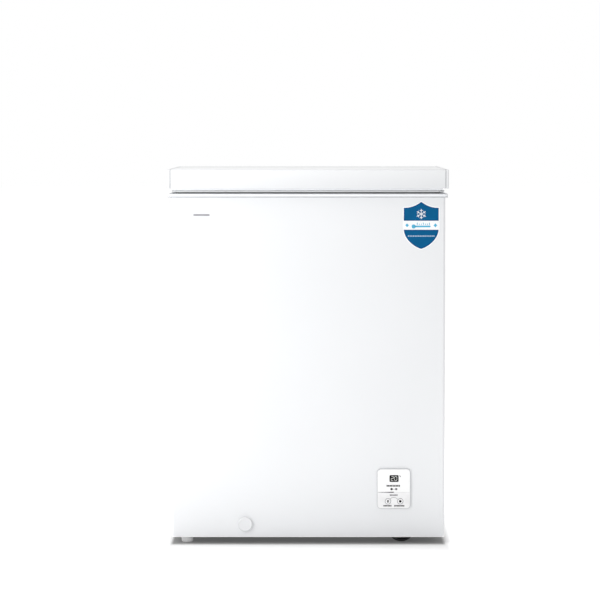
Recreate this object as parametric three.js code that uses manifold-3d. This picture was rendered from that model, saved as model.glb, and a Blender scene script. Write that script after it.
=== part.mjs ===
// A small top-opening chest freezer with a step over its compressor, in millimetres.
// The floor is z = 0, +z is up, the front faces -y, and x = 0 and y = 0 are the middle of the outline.
import * as THREE from "three";
import { mergeVertices } from "three/addons/utils/BufferGeometryUtils.js";
import Module from "manifold-3d";

const wasm = await Module();
wasm.setup();

// ---------------------------------------------------------------- driving dimensions
const HEIGHT = 850; // floor to lid top
const LID_WIDTH = 635;
const BODY_WIDTH = 620;
const FRONT = -280; // front face of the lid
const REAR = 262; // back of the cabinet and of the lid
const BODY_FRONT = -273; // front face of the cabinet
const SHEET = 1; // steel sheet
const GAP = 0.3; // between pieces that touch
const GROUND = 15; // clearance under the cabinet

const RIM_BOTTOM = 786.5;
const RIM_TOP = 795;
const RIM_WIDTH = 632;
const LID_BOTTOM = 806; // lower edge of the lid's sheet
const LID_EDGE = 5; // radius of the lid's folded edges
const BODY_EDGE = 6; // radius of the cabinet's upright front corners
const CAP_WIDTH = 6.4; // end cap that shows beside the lid's sheet

const WALL = 54; // foam wall, outside to inside
const TANK_FLOOR = 90;
const LEDGE_Z = 767; // shelf that the basket hangs on
const LEDGE = 12;
const LIP_FACE = 3.5; // inner face of the rim's lip, from the wall above the ledge
const TANK_CORNER = 28;
const LINER = 1.2;
const BAY_LEFT = 116; // compressor bay: from here to the right-hand side
const BAY_TOP = 230;
const STEP_TOP = 280; // the tank's step over the bay
const STEP_LEFT = 65;

const DRAIN_X = -142.6;
const DRAIN_Z = 45;
const DRAIN_Y = -150; // of the hole in the tank floor
const FOOT_X = -275;
const FOOT_R = 13.5;
const ROLLER_X = 212.8;
const ROLLER_R = 32;
const ROLLER_WIDTH = 20;
const ROLLER_YS = { front: -231, rear: 225 };
const TRAY_TOP = GROUND + SHEET + GAP + 2;

const PANEL = { x: 194.4, z: 126, w: 76.5, h: 91.8, corner: 9.6 };
const WINDOW = { x: 195, z: 149.4, w: 20.7, h: 15.5 };
const BUTTONS = { left: 181.3, right: 209.2 };
const BUTTON_Z = 97.5;
const BUTTON_R = 6.8;

const HINGE_XS = { left: -205, right: 205 };
const PIN_Y = 271.5;
const EYE_R = 8.5; // ear of the hinge's base round the pin
const PIN_Z = 800;
const BASKET_X = -146; // middle of the basket where it stands
const BASKET_W = 220;

const halfBody = BODY_WIDTH / 2;
const halfLid = LID_WIDTH / 2;
const skinEnd = halfLid - CAP_WIDTH - GAP;
const inner = { x: halfBody - WALL, front: BODY_FRONT + WALL, rear: REAR - WALL };

// ---------------------------------------------------------------- solids from three.js geometry
// A closed geometry as a solid that can be joined and cut.
function solid(geometry) {
  const flat = geometry.index ? geometry.toNonIndexed() : geometry;
  const bare = new THREE.BufferGeometry();
  bare.setAttribute("position", flat.getAttribute("position"));
  const merged = mergeVertices(bare, 1e-4);
  const corners = merged.index.array;
  const whole = [];
  for (let i = 0; i < corners.length; i += 3) {
    const [a, b, c] = corners.slice(i, i + 3);
    if (a !== b && b !== c && c !== a) whole.push(a, b, c);
  }
  const build = (triangles) =>
    new wasm.Manifold(
      new wasm.Mesh({
        numProp: 3,
        vertProperties: merged.attributes.position.array,
        triVerts: new Uint32Array(triangles),
      }),
    );
  const made = build(whole);
  return made.volume() > 0 ? made : build(whole.reverse());
}

// A solid back as a geometry for a mesh.
function surface(made) {
  const mesh = made.getMesh();
  const points = new Float32Array(mesh.numVert * 3);
  for (let i = 0; i < mesh.numVert; i++) {
    const start = i * mesh.numProp;
    points.set(mesh.vertProperties.subarray(start, start + 3), i * 3);
  }
  const geometry = new THREE.BufferGeometry();
  geometry.setAttribute("position", new THREE.BufferAttribute(points, 3));
  geometry.setIndex(new THREE.BufferAttribute(mesh.triVerts, 1));
  geometry.computeVertexNormals();
  return geometry;
}

const union = (...solids) => solids.reduce((all, next) => all.add(next));
const cut = (from, ...tools) => tools.reduce((left, tool) => left.subtract(tool), from);

// A box between two corners.
function block(x0, x1, y0, y1, z0, z1) {
  const box = new THREE.BoxGeometry(x1 - x0, y1 - y0, z1 - z0);
  return solid(box.translate((x0 + x1) / 2, (y0 + y1) / 2, (z0 + z1) / 2));
}

// A stretch on one side of the middle, given how far out it starts and ends.
const span = (side, from, to) => (side < 0 ? [-to, -from] : [from, to]);

// A rectangle with its own radius at each corner: low left, low right, high right, high left.
function roundedRect(x0, x1, y0, y1, ...radii) {
  const [a, b = a, c = a, d = a] = radii;
  const shape = new THREE.Shape();
  const corner = (x, y, r, start) =>
    r > 0 ? shape.absarc(x, y, r, start, start + Math.PI / 2, false) : shape.lineTo(x, y);
  shape.moveTo(x0 + a, y0);
  shape.lineTo(x1 - b, y0);
  corner(x1 - b, y0 + b, b, -Math.PI / 2);
  corner(x1 - c, y1 - c, c, 0);
  corner(x0 + d, y1 - d, d, Math.PI / 2);
  corner(x0 + a, y0 + a, a, Math.PI);
  return shape;
}

// A disc, for discs, pins and holes.
function disc(x, y, r) {
  return new THREE.Shape().absarc(x, y, r, 0, 2 * Math.PI, false);
}

// Every arc of a shape is drawn with this many straight lines.
const extrude = (shape, depth, lines) =>
  new THREE.ExtrudeGeometry(shape, { depth, curveSegments: lines / 2, bevelEnabled: false });

// Prisms: an outline in plan, in side view (y, z) or in front view (x, z).
const upright = (shape, z0, z1, lines = 4) =>
  solid(extrude(shape, z1 - z0, lines).translate(0, 0, z0));

function crosswise(shape, x0, x1, lines = 4) {
  const turn = new THREE.Matrix4().makeBasis(
    new THREE.Vector3(0, 1, 0),
    new THREE.Vector3(0, 0, 1),
    new THREE.Vector3(1, 0, 0),
  );
  return solid(extrude(shape, x1 - x0, lines).applyMatrix4(turn).translate(x0, 0, 0));
}

const frontal = (shape, y0, y1, lines = 4) =>
  solid(extrude(shape, y1 - y0, lines).rotateX(Math.PI / 2).translate(0, y1, 0));

// A turned piece about the z axis, from [radius, z] points.
function turned(profile, segments = 24) {
  const points = profile.map(([r, z]) => new THREE.Vector2(r, z));
  return solid(new THREE.LatheGeometry(points, segments).rotateX(Math.PI / 2));
}

// A line through corner points, with each corner taken by an arc of the bend radius.
class PipeRun extends THREE.Curve {
  constructor(corners, bend, arcSteps) {
    super();
    const spots = corners.map((corner) => new THREE.Vector3(...corner));
    this.points = [spots[0]];
    for (let i = 1; i < spots.length - 1; i++) {
      const back = spots[i - 1].clone().sub(spots[i]).normalize();
      const ahead = spots[i + 1].clone().sub(spots[i]).normalize();
      const half = back.angleTo(ahead) / 2;
      const centre = back.clone().add(ahead).normalize();
      centre.multiplyScalar(bend / Math.sin(half)).add(spots[i]);
      const start = back.multiplyScalar(bend / Math.tan(half)).add(spots[i]).sub(centre);
      const end = ahead.multiplyScalar(bend / Math.tan(half)).add(spots[i]).sub(centre);
      const axis = start.clone().cross(end).normalize();
      const sweep = start.angleTo(end);
      for (let k = 0; k <= arcSteps; k++) {
        const spoke = start.clone().applyAxisAngle(axis, (sweep * k) / arcSteps);
        this.points.push(spoke.add(centre));
      }
    }
    this.points.push(spots.at(-1));
  }
  get steps() {
    return this.points.length - 1;
  }
  getPointAt(u) {
    return this.points[Math.round(u * this.steps)].clone();
  }
  getPoint(t) {
    return this.getPointAt(t);
  }
  getTangentAt(u) {
    const i = Math.round(u * this.steps);
    const before = this.points[Math.max(i - 1, 0)];
    const after = this.points[Math.min(i + 1, this.steps)];
    return after.clone().sub(before).normalize();
  }
}

// A bar or, with a bore, a pipe, bent along a run of corner points.
function pipe(corners, radius, { bend = 12, sides = 10, arcSteps = 4, bore = 0 } = {}) {
  const run = new PipeRun(corners, bend, arcSteps);
  const section = disc(0, 0, radius);
  if (bore > 0) section.holes.push(disc(0, 0, bore));
  return solid(
    new THREE.ExtrudeGeometry(section, {
      steps: run.steps,
      curveSegments: sides / 2,
      extrudePath: run,
      bevelEnabled: false,
    }),
  );
}

// ---------------------------------------------------------------- materials
const finish = (color, roughness, metalness = 0) =>
  new THREE.MeshStandardMaterial({ color, roughness, metalness });
const whiteSteel = finish(0xf4f5f6, 0.35);
const whitePlastic = finish(0xf1f2f3, 0.45);
const greyPlastic = finish(0xb9bcc0, 0.5);
const blackPlastic = finish(0x1d1e20, 0.5);
const blackRubber = finish(0x151515, 0.8);
const softGrey = finish(0xdcdde0, 0.7);
const zinc = finish(0xb4b8bb, 0.4, 0.9);
const copper = finish(0xb87349, 0.35, 1);
const paintedBlack = finish(0x202224, 0.45, 0.2);
const stucco = finish(0xe6e8ea, 0.45, 0.3);
const foam = finish(0xe8d9a8, 0.9);
const badgeBlue = finish(0x126090, 0.4);
const glass = finish(0x0b0c0e, 0.1);
const circuit = finish(0x1f5b35, 0.6);
const basketCoat = finish(0xf3f4f5, 0.4);

const freezer = new THREE.Group();
function section(name, parent = freezer) {
  const group = new THREE.Group();
  group.name = name;
  parent.add(group);
  return group;
}
function place(parent, name, made, material, x = 0, y = 0, z = 0) {
  const mesh = new THREE.Mesh(surface(made), material);
  mesh.name = name;
  mesh.position.set(x, y, z);
  parent.add(mesh);
  return mesh;
}

// ---------------------------------------------------------------- cabinet
const cabinet = section("cabinet");

const GRILLE = { y0: 60, y1: 210, z0: 60, z1: 180 };
const SPOUT_NECK_R = 8.5;

function outerShell() {
  const back = REAR - SHEET;
  const plan = (inset, rear) => {
    const corner = BODY_EDGE - inset;
    const [x, y] = [halfBody - inset, BODY_FRONT + inset];
    return roundedRect(-x, x, y, rear, corner, corner, 0, 0);
  };
  const hem = 15;
  const flange = 12;
  return cut(
    upright(plan(0, back), GROUND, RIM_BOTTOM + 1.5),
    upright(plan(SHEET, back - SHEET), GROUND + SHEET, HEIGHT),
    block(-halfBody + hem, halfBody - hem, BODY_FRONT + hem, HEIGHT, 0, GROUND + 5),
    block(-halfBody + flange, halfBody - flange, 0, HEIGHT, 0, HEIGHT),
    block(PANEL.x - 35.2, PANEL.x + 35.2, FRONT, BODY_FRONT + 5, PANEL.z - 43, PANEL.z + 43),
    frontal(disc(DRAIN_X, DRAIN_Z, SPOUT_NECK_R + 0.5), FRONT, BODY_FRONT + 5, 16),
    block(halfBody - 5, halfBody + 5, GRILLE.y0, GRILLE.y1, GRILLE.z0, GRILLE.z1),
  );
}

function backPanel() {
  const bay = block(BAY_LEFT, HEIGHT, 0, HEIGHT, 0, BAY_TOP - 2);
  return cut(block(-309.5, 309.5, REAR - 0.8, REAR, GROUND + 1, RIM_BOTTOM - 0.5), bay);
}

// One sheet: under the tank, up beside the bay and over it.
function bottomPanel() {
  const low = GROUND + SHEET + GAP;
  const [left, right] = [-308.5, 308.5];
  const outline = new THREE.Shape();
  outline.moveTo(left, low);
  outline.lineTo(BAY_LEFT, low);
  outline.lineTo(BAY_LEFT, BAY_TOP - SHEET);
  outline.lineTo(right, BAY_TOP - SHEET);
  outline.lineTo(right, BAY_TOP);
  outline.lineTo(BAY_LEFT - SHEET, BAY_TOP);
  outline.lineTo(BAY_LEFT - SHEET, low + SHEET);
  outline.lineTo(left, low + SHEET);
  return frontal(outline, BODY_FRONT + BODY_EDGE, REAR - 3);
}

// The tank's inside, grown outwards by a thickness and left open at the top.
function tank(grow, top) {
  const plan = (right, extra) => {
    const out = grow + extra;
    const [x0, x1] = [-inner.x - out, right + out];
    return roundedRect(x0, x1, inner.front - out, inner.rear + out, TANK_CORNER + out);
  };
  return union(
    upright(plan(STEP_LEFT, 0), TANK_FLOOR - grow, STEP_TOP + 5),
    upright(plan(inner.x, 0), STEP_TOP - grow, LEDGE_Z + 1),
    upright(plan(inner.x, LEDGE), LEDGE_Z - grow, top),
  );
}

const LINER_TOP = RIM_TOP - 4 - GAP;
const DRAIN_BORE = 9;

function innerLiner() {
  const flange = roundedRect(-306, 306, BODY_FRONT + 4, REAR - 5, 6);
  return cut(
    union(tank(LINER, LINER_TOP), upright(flange, LINER_TOP - LINER, LINER_TOP)),
    tank(0, HEIGHT),
    upright(disc(DRAIN_X, DRAIN_Y, DRAIN_BORE + 0.2), 0, TANK_FLOOR + 5, 16),
  );
}

function topCollar() {
  const half = RIM_WIDTH / 2;
  const mouth = (inset) => {
    const grow = LEDGE - inset;
    const x = inner.x + grow;
    return roundedRect(-x, x, inner.front - grow, inner.rear + grow, TANK_CORNER + grow);
  };
  const hollow = roundedRect(-half + 5, half - 5, BODY_FRONT - 1, REAR - 0.8, BODY_EDGE, BODY_EDGE, 0, 0);
  const lip = upright(mouth(1.5), LEDGE_Z + 3, RIM_TOP);
  const skirt = cut(
    upright(roundedRect(-half, half, FRONT + 1, REAR, 8, 8, 2, 2), RIM_BOTTOM, RIM_TOP),
    upright(hollow, 0, RIM_TOP - 4),
  );
  return cut(union(skirt, lip), upright(mouth(LIP_FACE), 0, HEIGHT));
}

// ---------------------------------------------------------------- refrigerant tubes in the foam
const COIL_R = 4;
const COIL_TURNS = 6;
const COIL_PITCH = 80;
const COIL_BASE = 310;

// Round and round the tank, one turn above the other, climbing across the rear wall.
function evaporatorRun() {
  const out = LINER + GAP + COIL_R + 0.7;
  const [x, front, rear] = [inner.x + out, inner.front - out, inner.rear + out];
  const corners = [];
  for (let turn = 0; turn < COIL_TURNS; turn++) {
    const z = COIL_BASE + turn * COIL_PITCH;
    corners.push([x, rear, z], [x, front, z], [-x, front, z], [-x, rear, z]);
  }
  corners[0] = [x, rear - 60, COIL_BASE];
  return corners;
}

const CONDENSER_R = 2.5;
const CONDENSER_RUNS = 5;

// To and fro behind the right side, the front and the left side.
function condenserRun() {
  const out = SHEET + 0.6 + CONDENSER_R;
  const [x, front, rear] = [halfBody - out, BODY_FRONT + out, REAR - 32];
  const corners = [[x, rear, BAY_TOP + 4]];
  for (let run = 0; run < CONDENSER_RUNS; run++) {
    const z = 300 + run * 90;
    const side = run % 2 ? -x : x;
    corners.push([side, rear, z], [side, front, z], [-side, front, z], [-side, rear, z]);
  }
  return corners.slice(0, -1).concat([[corners.at(-1)[0], rear - 20, corners.at(-1)[2]]]);
}

const hoseRun = [
  [DRAIN_X, DRAIN_Y, TANK_FLOOR - LINER - GAP],
  [DRAIN_X, DRAIN_Y, DRAIN_Z],
  [DRAIN_X, BODY_FRONT + 11, DRAIN_Z],
];
const HOSE_R = 11;
const coilBend = { bend: TANK_CORNER + 6, sides: 6 };
const condenserBend = { bend: 16, sides: 6, arcSteps: 3 };
const hoseBend = { bend: 25, sides: 12 };

function foamInsulation() {
  const through = [...hoseRun];
  through[0] = [DRAIN_X, DRAIN_Y, TANK_FLOOR];
  through[2] = [DRAIN_X, BODY_FRONT - 5, DRAIN_Z];
  const plan = roundedRect(-308.5, 308.5, BODY_FRONT + 1.4, REAR - 3, BODY_EDGE, BODY_EDGE, 0, 0);
  return cut(
    upright(plan, GROUND + 2.6, LINER_TOP - LINER - GAP),
    block(BAY_LEFT - SHEET - GAP, HEIGHT, -HEIGHT, HEIGHT, 0, BAY_TOP + GAP),
    tank(LINER + GAP, HEIGHT),
    pipe(evaporatorRun(), COIL_R + 1.2, coilBend),
    pipe(condenserRun(), CONDENSER_R + 0.9, condenserBend),
    pipe(through, HOSE_R + 0.8, hoseBend),
  );
}

place(cabinet, "outer_shell", outerShell(), whiteSteel);
place(cabinet, "back_panel", backPanel(), zinc);
place(cabinet, "bottom_panel", bottomPanel(), zinc);
place(cabinet, "foam_insulation", foamInsulation(), foam);
place(cabinet, "inner_liner", innerLiner(), stucco);
place(cabinet, "top_collar", topCollar(), whitePlastic);
place(cabinet, "evaporator_coil", pipe(evaporatorRun(), COIL_R, coilBend), copper);
place(cabinet, "condenser_coil", pipe(condenserRun(), CONDENSER_R, condenserBend), copper);

// A shield for the front, drawn from its top point down to its lower one.
function shieldOutline() {
  const [w, top, shoulder, waist, point] = [39.3, 53, 39.5, -6, -53];
  const shape = new THREE.Shape();
  shape.moveTo(0, top);
  shape.quadraticCurveTo(-w * 0.4, shoulder + 1, -w, shoulder);
  shape.lineTo(-w, waist);
  shape.quadraticCurveTo(-w * 0.95, point * 0.56, 0, point);
  shape.quadraticCurveTo(w * 0.95, point * 0.56, w, waist);
  shape.lineTo(w, shoulder);
  shape.quadraticCurveTo(w * 0.4, shoulder + 1, 0, top);
  return shape;
}
const badge = frontal(shieldOutline(), -0.6, 0, 16);
place(cabinet, "shield_badge", badge, badgeBlue, 255.4, BODY_FRONT - GAP, 723.5);

// Slots cut across a plate in rows.
const slots = (count, first, pitch, slot) =>
  Array.from({ length: count }, (_, i) => slot(first + i * pitch));

function rearCover() {
  const [x0, x1] = [BAY_LEFT + 2, 308.5];
  return cut(
    block(x0, x1, REAR - 0.8, REAR, GROUND + 3, BAY_TOP - 4),
    ...slots(9, 80, 13, (z) => block(x0 + 25, x1 - 25, REAR - 5, REAR + 5, z, z + 5)),
    frontal(disc(285, 45, 6.5), REAR - 5, REAR + 5, 12),
  );
}

function sideGrille() {
  const [x0, x1] = [halfBody + GAP, halfBody + 2.2];
  const edge = 8;
  return cut(
    block(x0, x1, GRILLE.y0 - edge, GRILLE.y1 + edge, GRILLE.z0 - edge, GRILLE.z1 + edge),
    ...slots(9, GRILLE.z0 + 4, 13, (z) => block(x0 - 5, x1 + 5, 66, 204, z, z + 6)),
  );
}

// A closed bushing where the mains lead would pass through the rear cover.
const gland = turned([
  [0, -6],
  [8, -6],
  [8, -1.2],
  [6, -1.2],
  [6, 0.3],
  [9, 0.3],
  [9, 3],
  [6, 9],
  [0, 9],
], 16).rotate([-90, 0, 0]);
place(cabinet, "rear_cover", rearCover(), zinc);
place(cabinet, "side_grille", sideGrille(), whitePlastic);
place(cabinet, "cord_gland", gland, blackRubber, 285, REAR, 45);

// ---------------------------------------------------------------- drain
const drain = section("drain");

const spout = cut(
  union(
    frontal(disc(0, 0, 15), -1.7, 0, 24),
    frontal(disc(0, 0, SPOUT_NECK_R - 0.3), -1.7, 16, 16),
  ),
  frontal(disc(0, 0, 6), -5, 20, 16),
);
const hose = pipe(hoseRun, HOSE_R, { ...hoseBend, bore: DRAIN_BORE });
const drainCap = turned([
  [0, -12],
  [5.6, -12],
  [5.6, 0],
  [16.6, 0],
  [16.6, 2.4],
  [14.6, 4],
  [0, 4.4],
]).rotate([90, 0, 0]);
const drainPlug = union(
  turned([[0, -10], [8.4, -10], [8.7, 0.3], [15, 0.3], [15, 2], [13, 3], [0, 3]], 20),
  block(-7, 7, -1.5, 1.5, 2, 11),
);
place(drain, "drain_spout", spout, whitePlastic, DRAIN_X, BODY_FRONT - GAP, DRAIN_Z);
place(drain, "drain_hose", hose, greyPlastic);
const capBack = BODY_FRONT - GAP - 1.7 - GAP;
place(drain, "drain_cap", drainCap, whitePlastic, DRAIN_X, capBack, DRAIN_Z);
place(drain, "drain_plug", drainPlug, softGrey, DRAIN_X, DRAIN_Y, TANK_FLOOR);

// ---------------------------------------------------------------- feet, rollers and bay
const runningGear = section("running_gear");

const foot = turned([
  [0, 0],
  [FOOT_R - 4, 0],
  [FOOT_R - 1.6, 1.2],
  [FOOT_R - 0.6, 4],
  [FOOT_R, 16],
  [0, 16],
]);
place(runningGear, "foot_front_left", foot, whitePlastic, FOOT_X, -243.5);
place(runningGear, "foot_rear_left", foot, whitePlastic, FOOT_X, 230);

const AXLE_R = 4;
const legSpan = ROLLER_WIDTH / 2 + 4;

function compressorTray() {
  const [x0, x1] = [BAY_LEFT + 1.5, halfBody - SHEET - 1];
  const low = TRAY_TOP - 2;
  const window = (y) =>
    block(ROLLER_X - 34, ROLLER_X + 34, y - legSpan + 1, y + legSpan - 1, 0, TRAY_TOP + 5);
  return cut(
    union(
      block(x0, x1, BODY_FRONT + BODY_EDGE, REAR - 4, low, TRAY_TOP),
      block(x0, x0 + 2, BODY_FRONT + BODY_EDGE, REAR - 4, low, TRAY_TOP + 20),
    ),
    window(ROLLER_YS.front),
    window(ROLLER_YS.rear),
  );
}

const roller = cut(
  frontal(disc(0, 0, ROLLER_R), -ROLLER_WIDTH / 2, ROLLER_WIDTH / 2, 32),
  frontal(disc(0, 0, AXLE_R + 0.3), -HEIGHT, HEIGHT, 12),
);
const axle = frontal(disc(0, 0, AXLE_R), -legSpan - 3, legSpan + 3, 12);

// A bridge over the roller: two legs that hold the axle, standing on the tray.
function rollerFork() {
  const low = TRAY_TOP + GAP - ROLLER_R;
  const high = ROLLER_R + 6;
  const far = legSpan + 2;
  return cut(
    union(
      block(-14, 14, -far, far, high - 2, high),
      ...[-1, 1].flatMap((side) => [
        block(-14, 14, ...span(side, legSpan, far), low, high),
        block(-14, 14, ...span(side, legSpan, far + 8), low, low + 2),
      ]),
    ),
    frontal(disc(0, 0, AXLE_R + 0.3), -HEIGHT, HEIGHT, 12),
  );
}
const fork = rollerFork();
place(runningGear, "compressor_tray", compressorTray(), zinc);
for (const [end, y] of Object.entries(ROLLER_YS)) {
  place(runningGear, `roller_${end}`, roller, blackPlastic, ROLLER_X, y, ROLLER_R);
  place(runningGear, `roller_axle_${end}`, axle, zinc, ROLLER_X, y, ROLLER_R);
  place(runningGear, `roller_fork_${end}`, fork, zinc, ROLLER_X, y, ROLLER_R);
}

// ---------------------------------------------------------------- compressor
const compressor = section("compressor");
compressor.position.set(212, 105, TRAY_TOP + GAP);
const POT_R = 70;
const FOOT_SPAN = { x: 42, y: 74 };

const pot = turned([
  [0, 17],
  [30, 18],
  [55, 26],
  [66, 40],
  [66, 92],
  [POT_R, 93],
  [POT_R, 97],
  [66, 98],
  [64, 132],
  [50, 155],
  [25, 164],
  [0, 166],
], 32);
const grommet = turned([
  [0, 0],
  [10, 0],
  [10, 11],
  [5.6, 11.4],
  [5.6, 15.2],
  [8.5, 15.6],
  [7, 18.5],
  [0, 18.5],
], 12);
const grommetSpots = [
  [-FOOT_SPAN.x, -FOOT_SPAN.y],
  [FOOT_SPAN.x, -FOOT_SPAN.y],
  [-FOOT_SPAN.x, FOOT_SPAN.y],
  [FOOT_SPAN.x, FOOT_SPAN.y],
];
const basePlate = cut(
  upright(roundedRect(-56, 56, -88, 88, 12), 11.8, 14.8, 6),
  ...grommetSpots.map(([x, y]) => upright(disc(x, y, 6), 0, 30, 12)),
);
place(compressor, "compressor_housing", pot, paintedBlack);
place(compressor, "compressor_base", basePlate, paintedBlack);
grommetSpots.forEach(([x, y], i) =>
  place(compressor, `compressor_grommet_${i + 1}`, grommet, blackRubber, x, y),
);
place(compressor, "relay_cover", block(-24, 24, -94, -POT_R - 0.5, 50, 112), blackPlastic);

// Tubes between the pot and the holes in the bay's roof.
const roof = BAY_TOP - 4 - TRAY_TOP - GAP;
const dryer = turned([
  [0, -48],
  [2.5, -48],
  [2.5, -44],
  [9.5, -36],
  [9.5, 36],
  [2.5, 44],
  [2.5, 48],
  [0, 48],
], 16);
const tubes = {
  discharge_tube: [pipe([[53, 53, 60], [80, 80, 60], [80, 118, 60], [80, 118, roof]], 3, { bend: 10 }), copper],
  suction_tube: [pipe([[-53, 53, 70], [-72, 72, 70], [-72, 110, 70], [-72, 110, roof]], 4, { bend: 10 }), copper],
  capillary_tube: [pipe([[-80, 10, 146], [-80, 10, 170], [-60, 40, 190], [-60, 40, roof]], 1.2, { bend: 8, sides: 6 }), copper],
};
for (const [name, [made, material]] of Object.entries(tubes)) {
  place(compressor, name, made, material);
}
place(compressor, "filter_drier", dryer, copper, -80, 10, 97);

// ---------------------------------------------------------------- control panel
const controls = section("controls");
const FACE = BODY_FRONT - 3.5; // front of the panel's frame
const RECESS = 1.3;

const panelOutline = (inset, corner = PANEL.corner - inset) => {
  const [w, h] = [PANEL.w / 2 - inset, PANEL.h / 2 - inset];
  return roundedRect(PANEL.x - w, PANEL.x + w, PANEL.z - h, PANEL.z + h, corner);
};
const windowOutline = (grow) => {
  const [w, h] = [WINDOW.w / 2 + grow, WINDOW.h / 2 + grow];
  return roundedRect(WINDOW.x - w, WINDOW.x + w, WINDOW.z - h, WINDOW.z + h, 1.5);
};
const buttonHoles = Object.values(BUTTONS).map((x) =>
  frontal(disc(x, BUTTON_Z, BUTTON_R + 0.4), FRONT, -240, 24),
);

function panelBezel() {
  const box = panelOutline(4.2, 4);
  return cut(
    union(
      frontal(panelOutline(0), FACE, BODY_FRONT - GAP, 8),
      frontal(box, BODY_FRONT - GAP - 0.5, BODY_FRONT + 20),
    ),
    frontal(panelOutline(1.8), FRONT, FACE + RECESS, 8),
    frontal(panelOutline(5.8, 3), BODY_FRONT - GAP, BODY_FRONT + 30),
    frontal(windowOutline(0.3), FRONT, -240),
    ...buttonHoles,
  );
}
const fascia = cut(
  frontal(panelOutline(2.1), FACE + 0.1, FACE + RECESS - GAP, 8),
  frontal(windowOutline(0.3), FRONT, -240),
  ...buttonHoles,
);
const board = union(
  block(PANEL.x - 31, PANEL.x + 31, -261, -259.4, PANEL.z - 38, PANEL.z + 38),
  block(WINDOW.x - 12, WINDOW.x + 12, -272, -260.5, WINDOW.z - 9, WINDOW.z + 9),
  ...Object.values(BUTTONS).map((x) =>
    block(x - 3, x + 3, -266.2, -260.5, BUTTON_Z - 3, BUTTON_Z + 3),
  ),
);
const button = turned([
  [0, 0],
  [3, 0],
  [3, 4],
  [BUTTON_R, 4],
  [BUTTON_R, 9],
  [BUTTON_R - 0.5, 9.6],
  [0, 9.6],
], 24).rotate([90, 0, 0]);
place(controls, "panel_bezel", panelBezel(), whitePlastic);
place(controls, "panel_fascia", fascia, whitePlastic);
place(controls, "display_window", frontal(windowOutline(0), FACE, -272.6), glass);
place(controls, "control_board", board, circuit);
for (const [side, x] of Object.entries(BUTTONS)) {
  place(controls, `button_${side}`, button, whitePlastic, x, -267.6, BUTTON_Z);
}

// ---------------------------------------------------------------- hinges
const hinges = section("hinges");
const PIN_R = 3.5;
const EAR = { inner: 24, outer: 26 };
const BASE_Z0 = 700;
const BASE_Z1 = 788;

function hingeBase() {
  const outline = new THREE.Shape();
  const near = REAR + GAP + 0.2;
  outline.moveTo(near, BASE_Z0);
  outline.lineTo(near + 6, BASE_Z0);
  outline.lineTo(PIN_Y + EYE_R, BASE_Z1 - 20);
  outline.absarc(PIN_Y, PIN_Z, EYE_R, 0, Math.PI, false);
  const ears = [-1, 1].map((side) =>
    crosswise(outline, ...span(side, EAR.inner, EAR.outer), 12),
  );
  return cut(
    union(block(-EAR.outer, EAR.outer, near, near + 2, BASE_Z0, BASE_Z1), ...ears),
    crosswise(disc(PIN_Y, PIN_Z, PIN_R + GAP), -HEIGHT, HEIGHT, 12),
  );
}

function hingeLeaf() {
  const near = REAR + GAP;
  const arm = new THREE.Shape();
  arm.moveTo(near, PIN_Z + 20);
  arm.lineTo(near, PIN_Z + 3);
  arm.absarc(PIN_Y, PIN_Z, 7, Math.PI * 0.9, Math.PI * 2.25, false);
  arm.lineTo(near + 2, PIN_Z + 20);
  const arms = [-1, 1].map((side) =>
    crosswise(arm, ...span(side, 19, 22), 12),
  );
  return cut(
    union(block(-32, 32, near, near + 2, PIN_Z + 12, PIN_Z + 46), ...arms),
    crosswise(disc(PIN_Y, PIN_Z, PIN_R + GAP), -HEIGHT, HEIGHT, 12),
  );
}
const hingePin = crosswise(disc(PIN_Y, PIN_Z, PIN_R), -29, 29, 12);
const hingeSpring = cut(
  crosswise(disc(PIN_Y, PIN_Z, 6.4), -17, 17, 16),
  crosswise(disc(PIN_Y, PIN_Z, PIN_R + 0.7), -HEIGHT, HEIGHT, 16),
);
const [baseMade, leafMade] = [hingeBase(), hingeLeaf()];
for (const [side, x] of Object.entries(HINGE_XS)) {
  place(hinges, `hinge_base_${side}`, baseMade, zinc, x);
  place(hinges, `hinge_leaf_${side}`, leafMade, zinc, x);
  place(hinges, `hinge_pin_${side}`, hingePin, zinc, x);
  place(hinges, `hinge_spring_${side}`, hingeSpring, zinc, x);
}

// ---------------------------------------------------------------- lid
const lid = section("lid");
const PLUG_BOTTOM = 782;
const PLUG_GAP = 10; // between the lid's plug and the tank wall

// The lid's outline seen from the side, drawn in by an inset.
const lidOutline = (inset, bottom) =>
  roundedRect(FRONT + inset, REAR - inset, bottom, HEIGHT - inset, 0, 0, LID_EDGE - inset, LID_EDGE - inset);

function lidSkin() {
  const lip = 14; // edge turned in under the lid
  return cut(
    crosswise(lidOutline(0, LID_BOTTOM), -skinEnd, skinEnd, 6),
    crosswise(lidOutline(SHEET, LID_BOTTOM + SHEET), -halfLid, halfLid, 6),
    block(-halfLid, halfLid, FRONT + lip, REAR - lip, 0, LID_BOTTOM + 5),
  );
}

// An end plate with a rib that plugs into the folded sheet.
function lidEndCap(side) {
  const rib = 12;
  const deep = SHEET + GAP;
  const ribBottom = LID_BOTTOM + deep;
  return cut(
    union(
      crosswise(lidOutline(0, LID_BOTTOM), ...span(side, skinEnd + GAP, halfLid), 6),
      crosswise(lidOutline(deep, ribBottom), ...span(side, skinEnd - rib, skinEnd + 1), 6),
    ),
    crosswise(lidOutline(deep + 2, ribBottom + 2), ...span(side, skinEnd - rib - 5, halfLid - 2.5), 6),
  );
}

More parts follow.
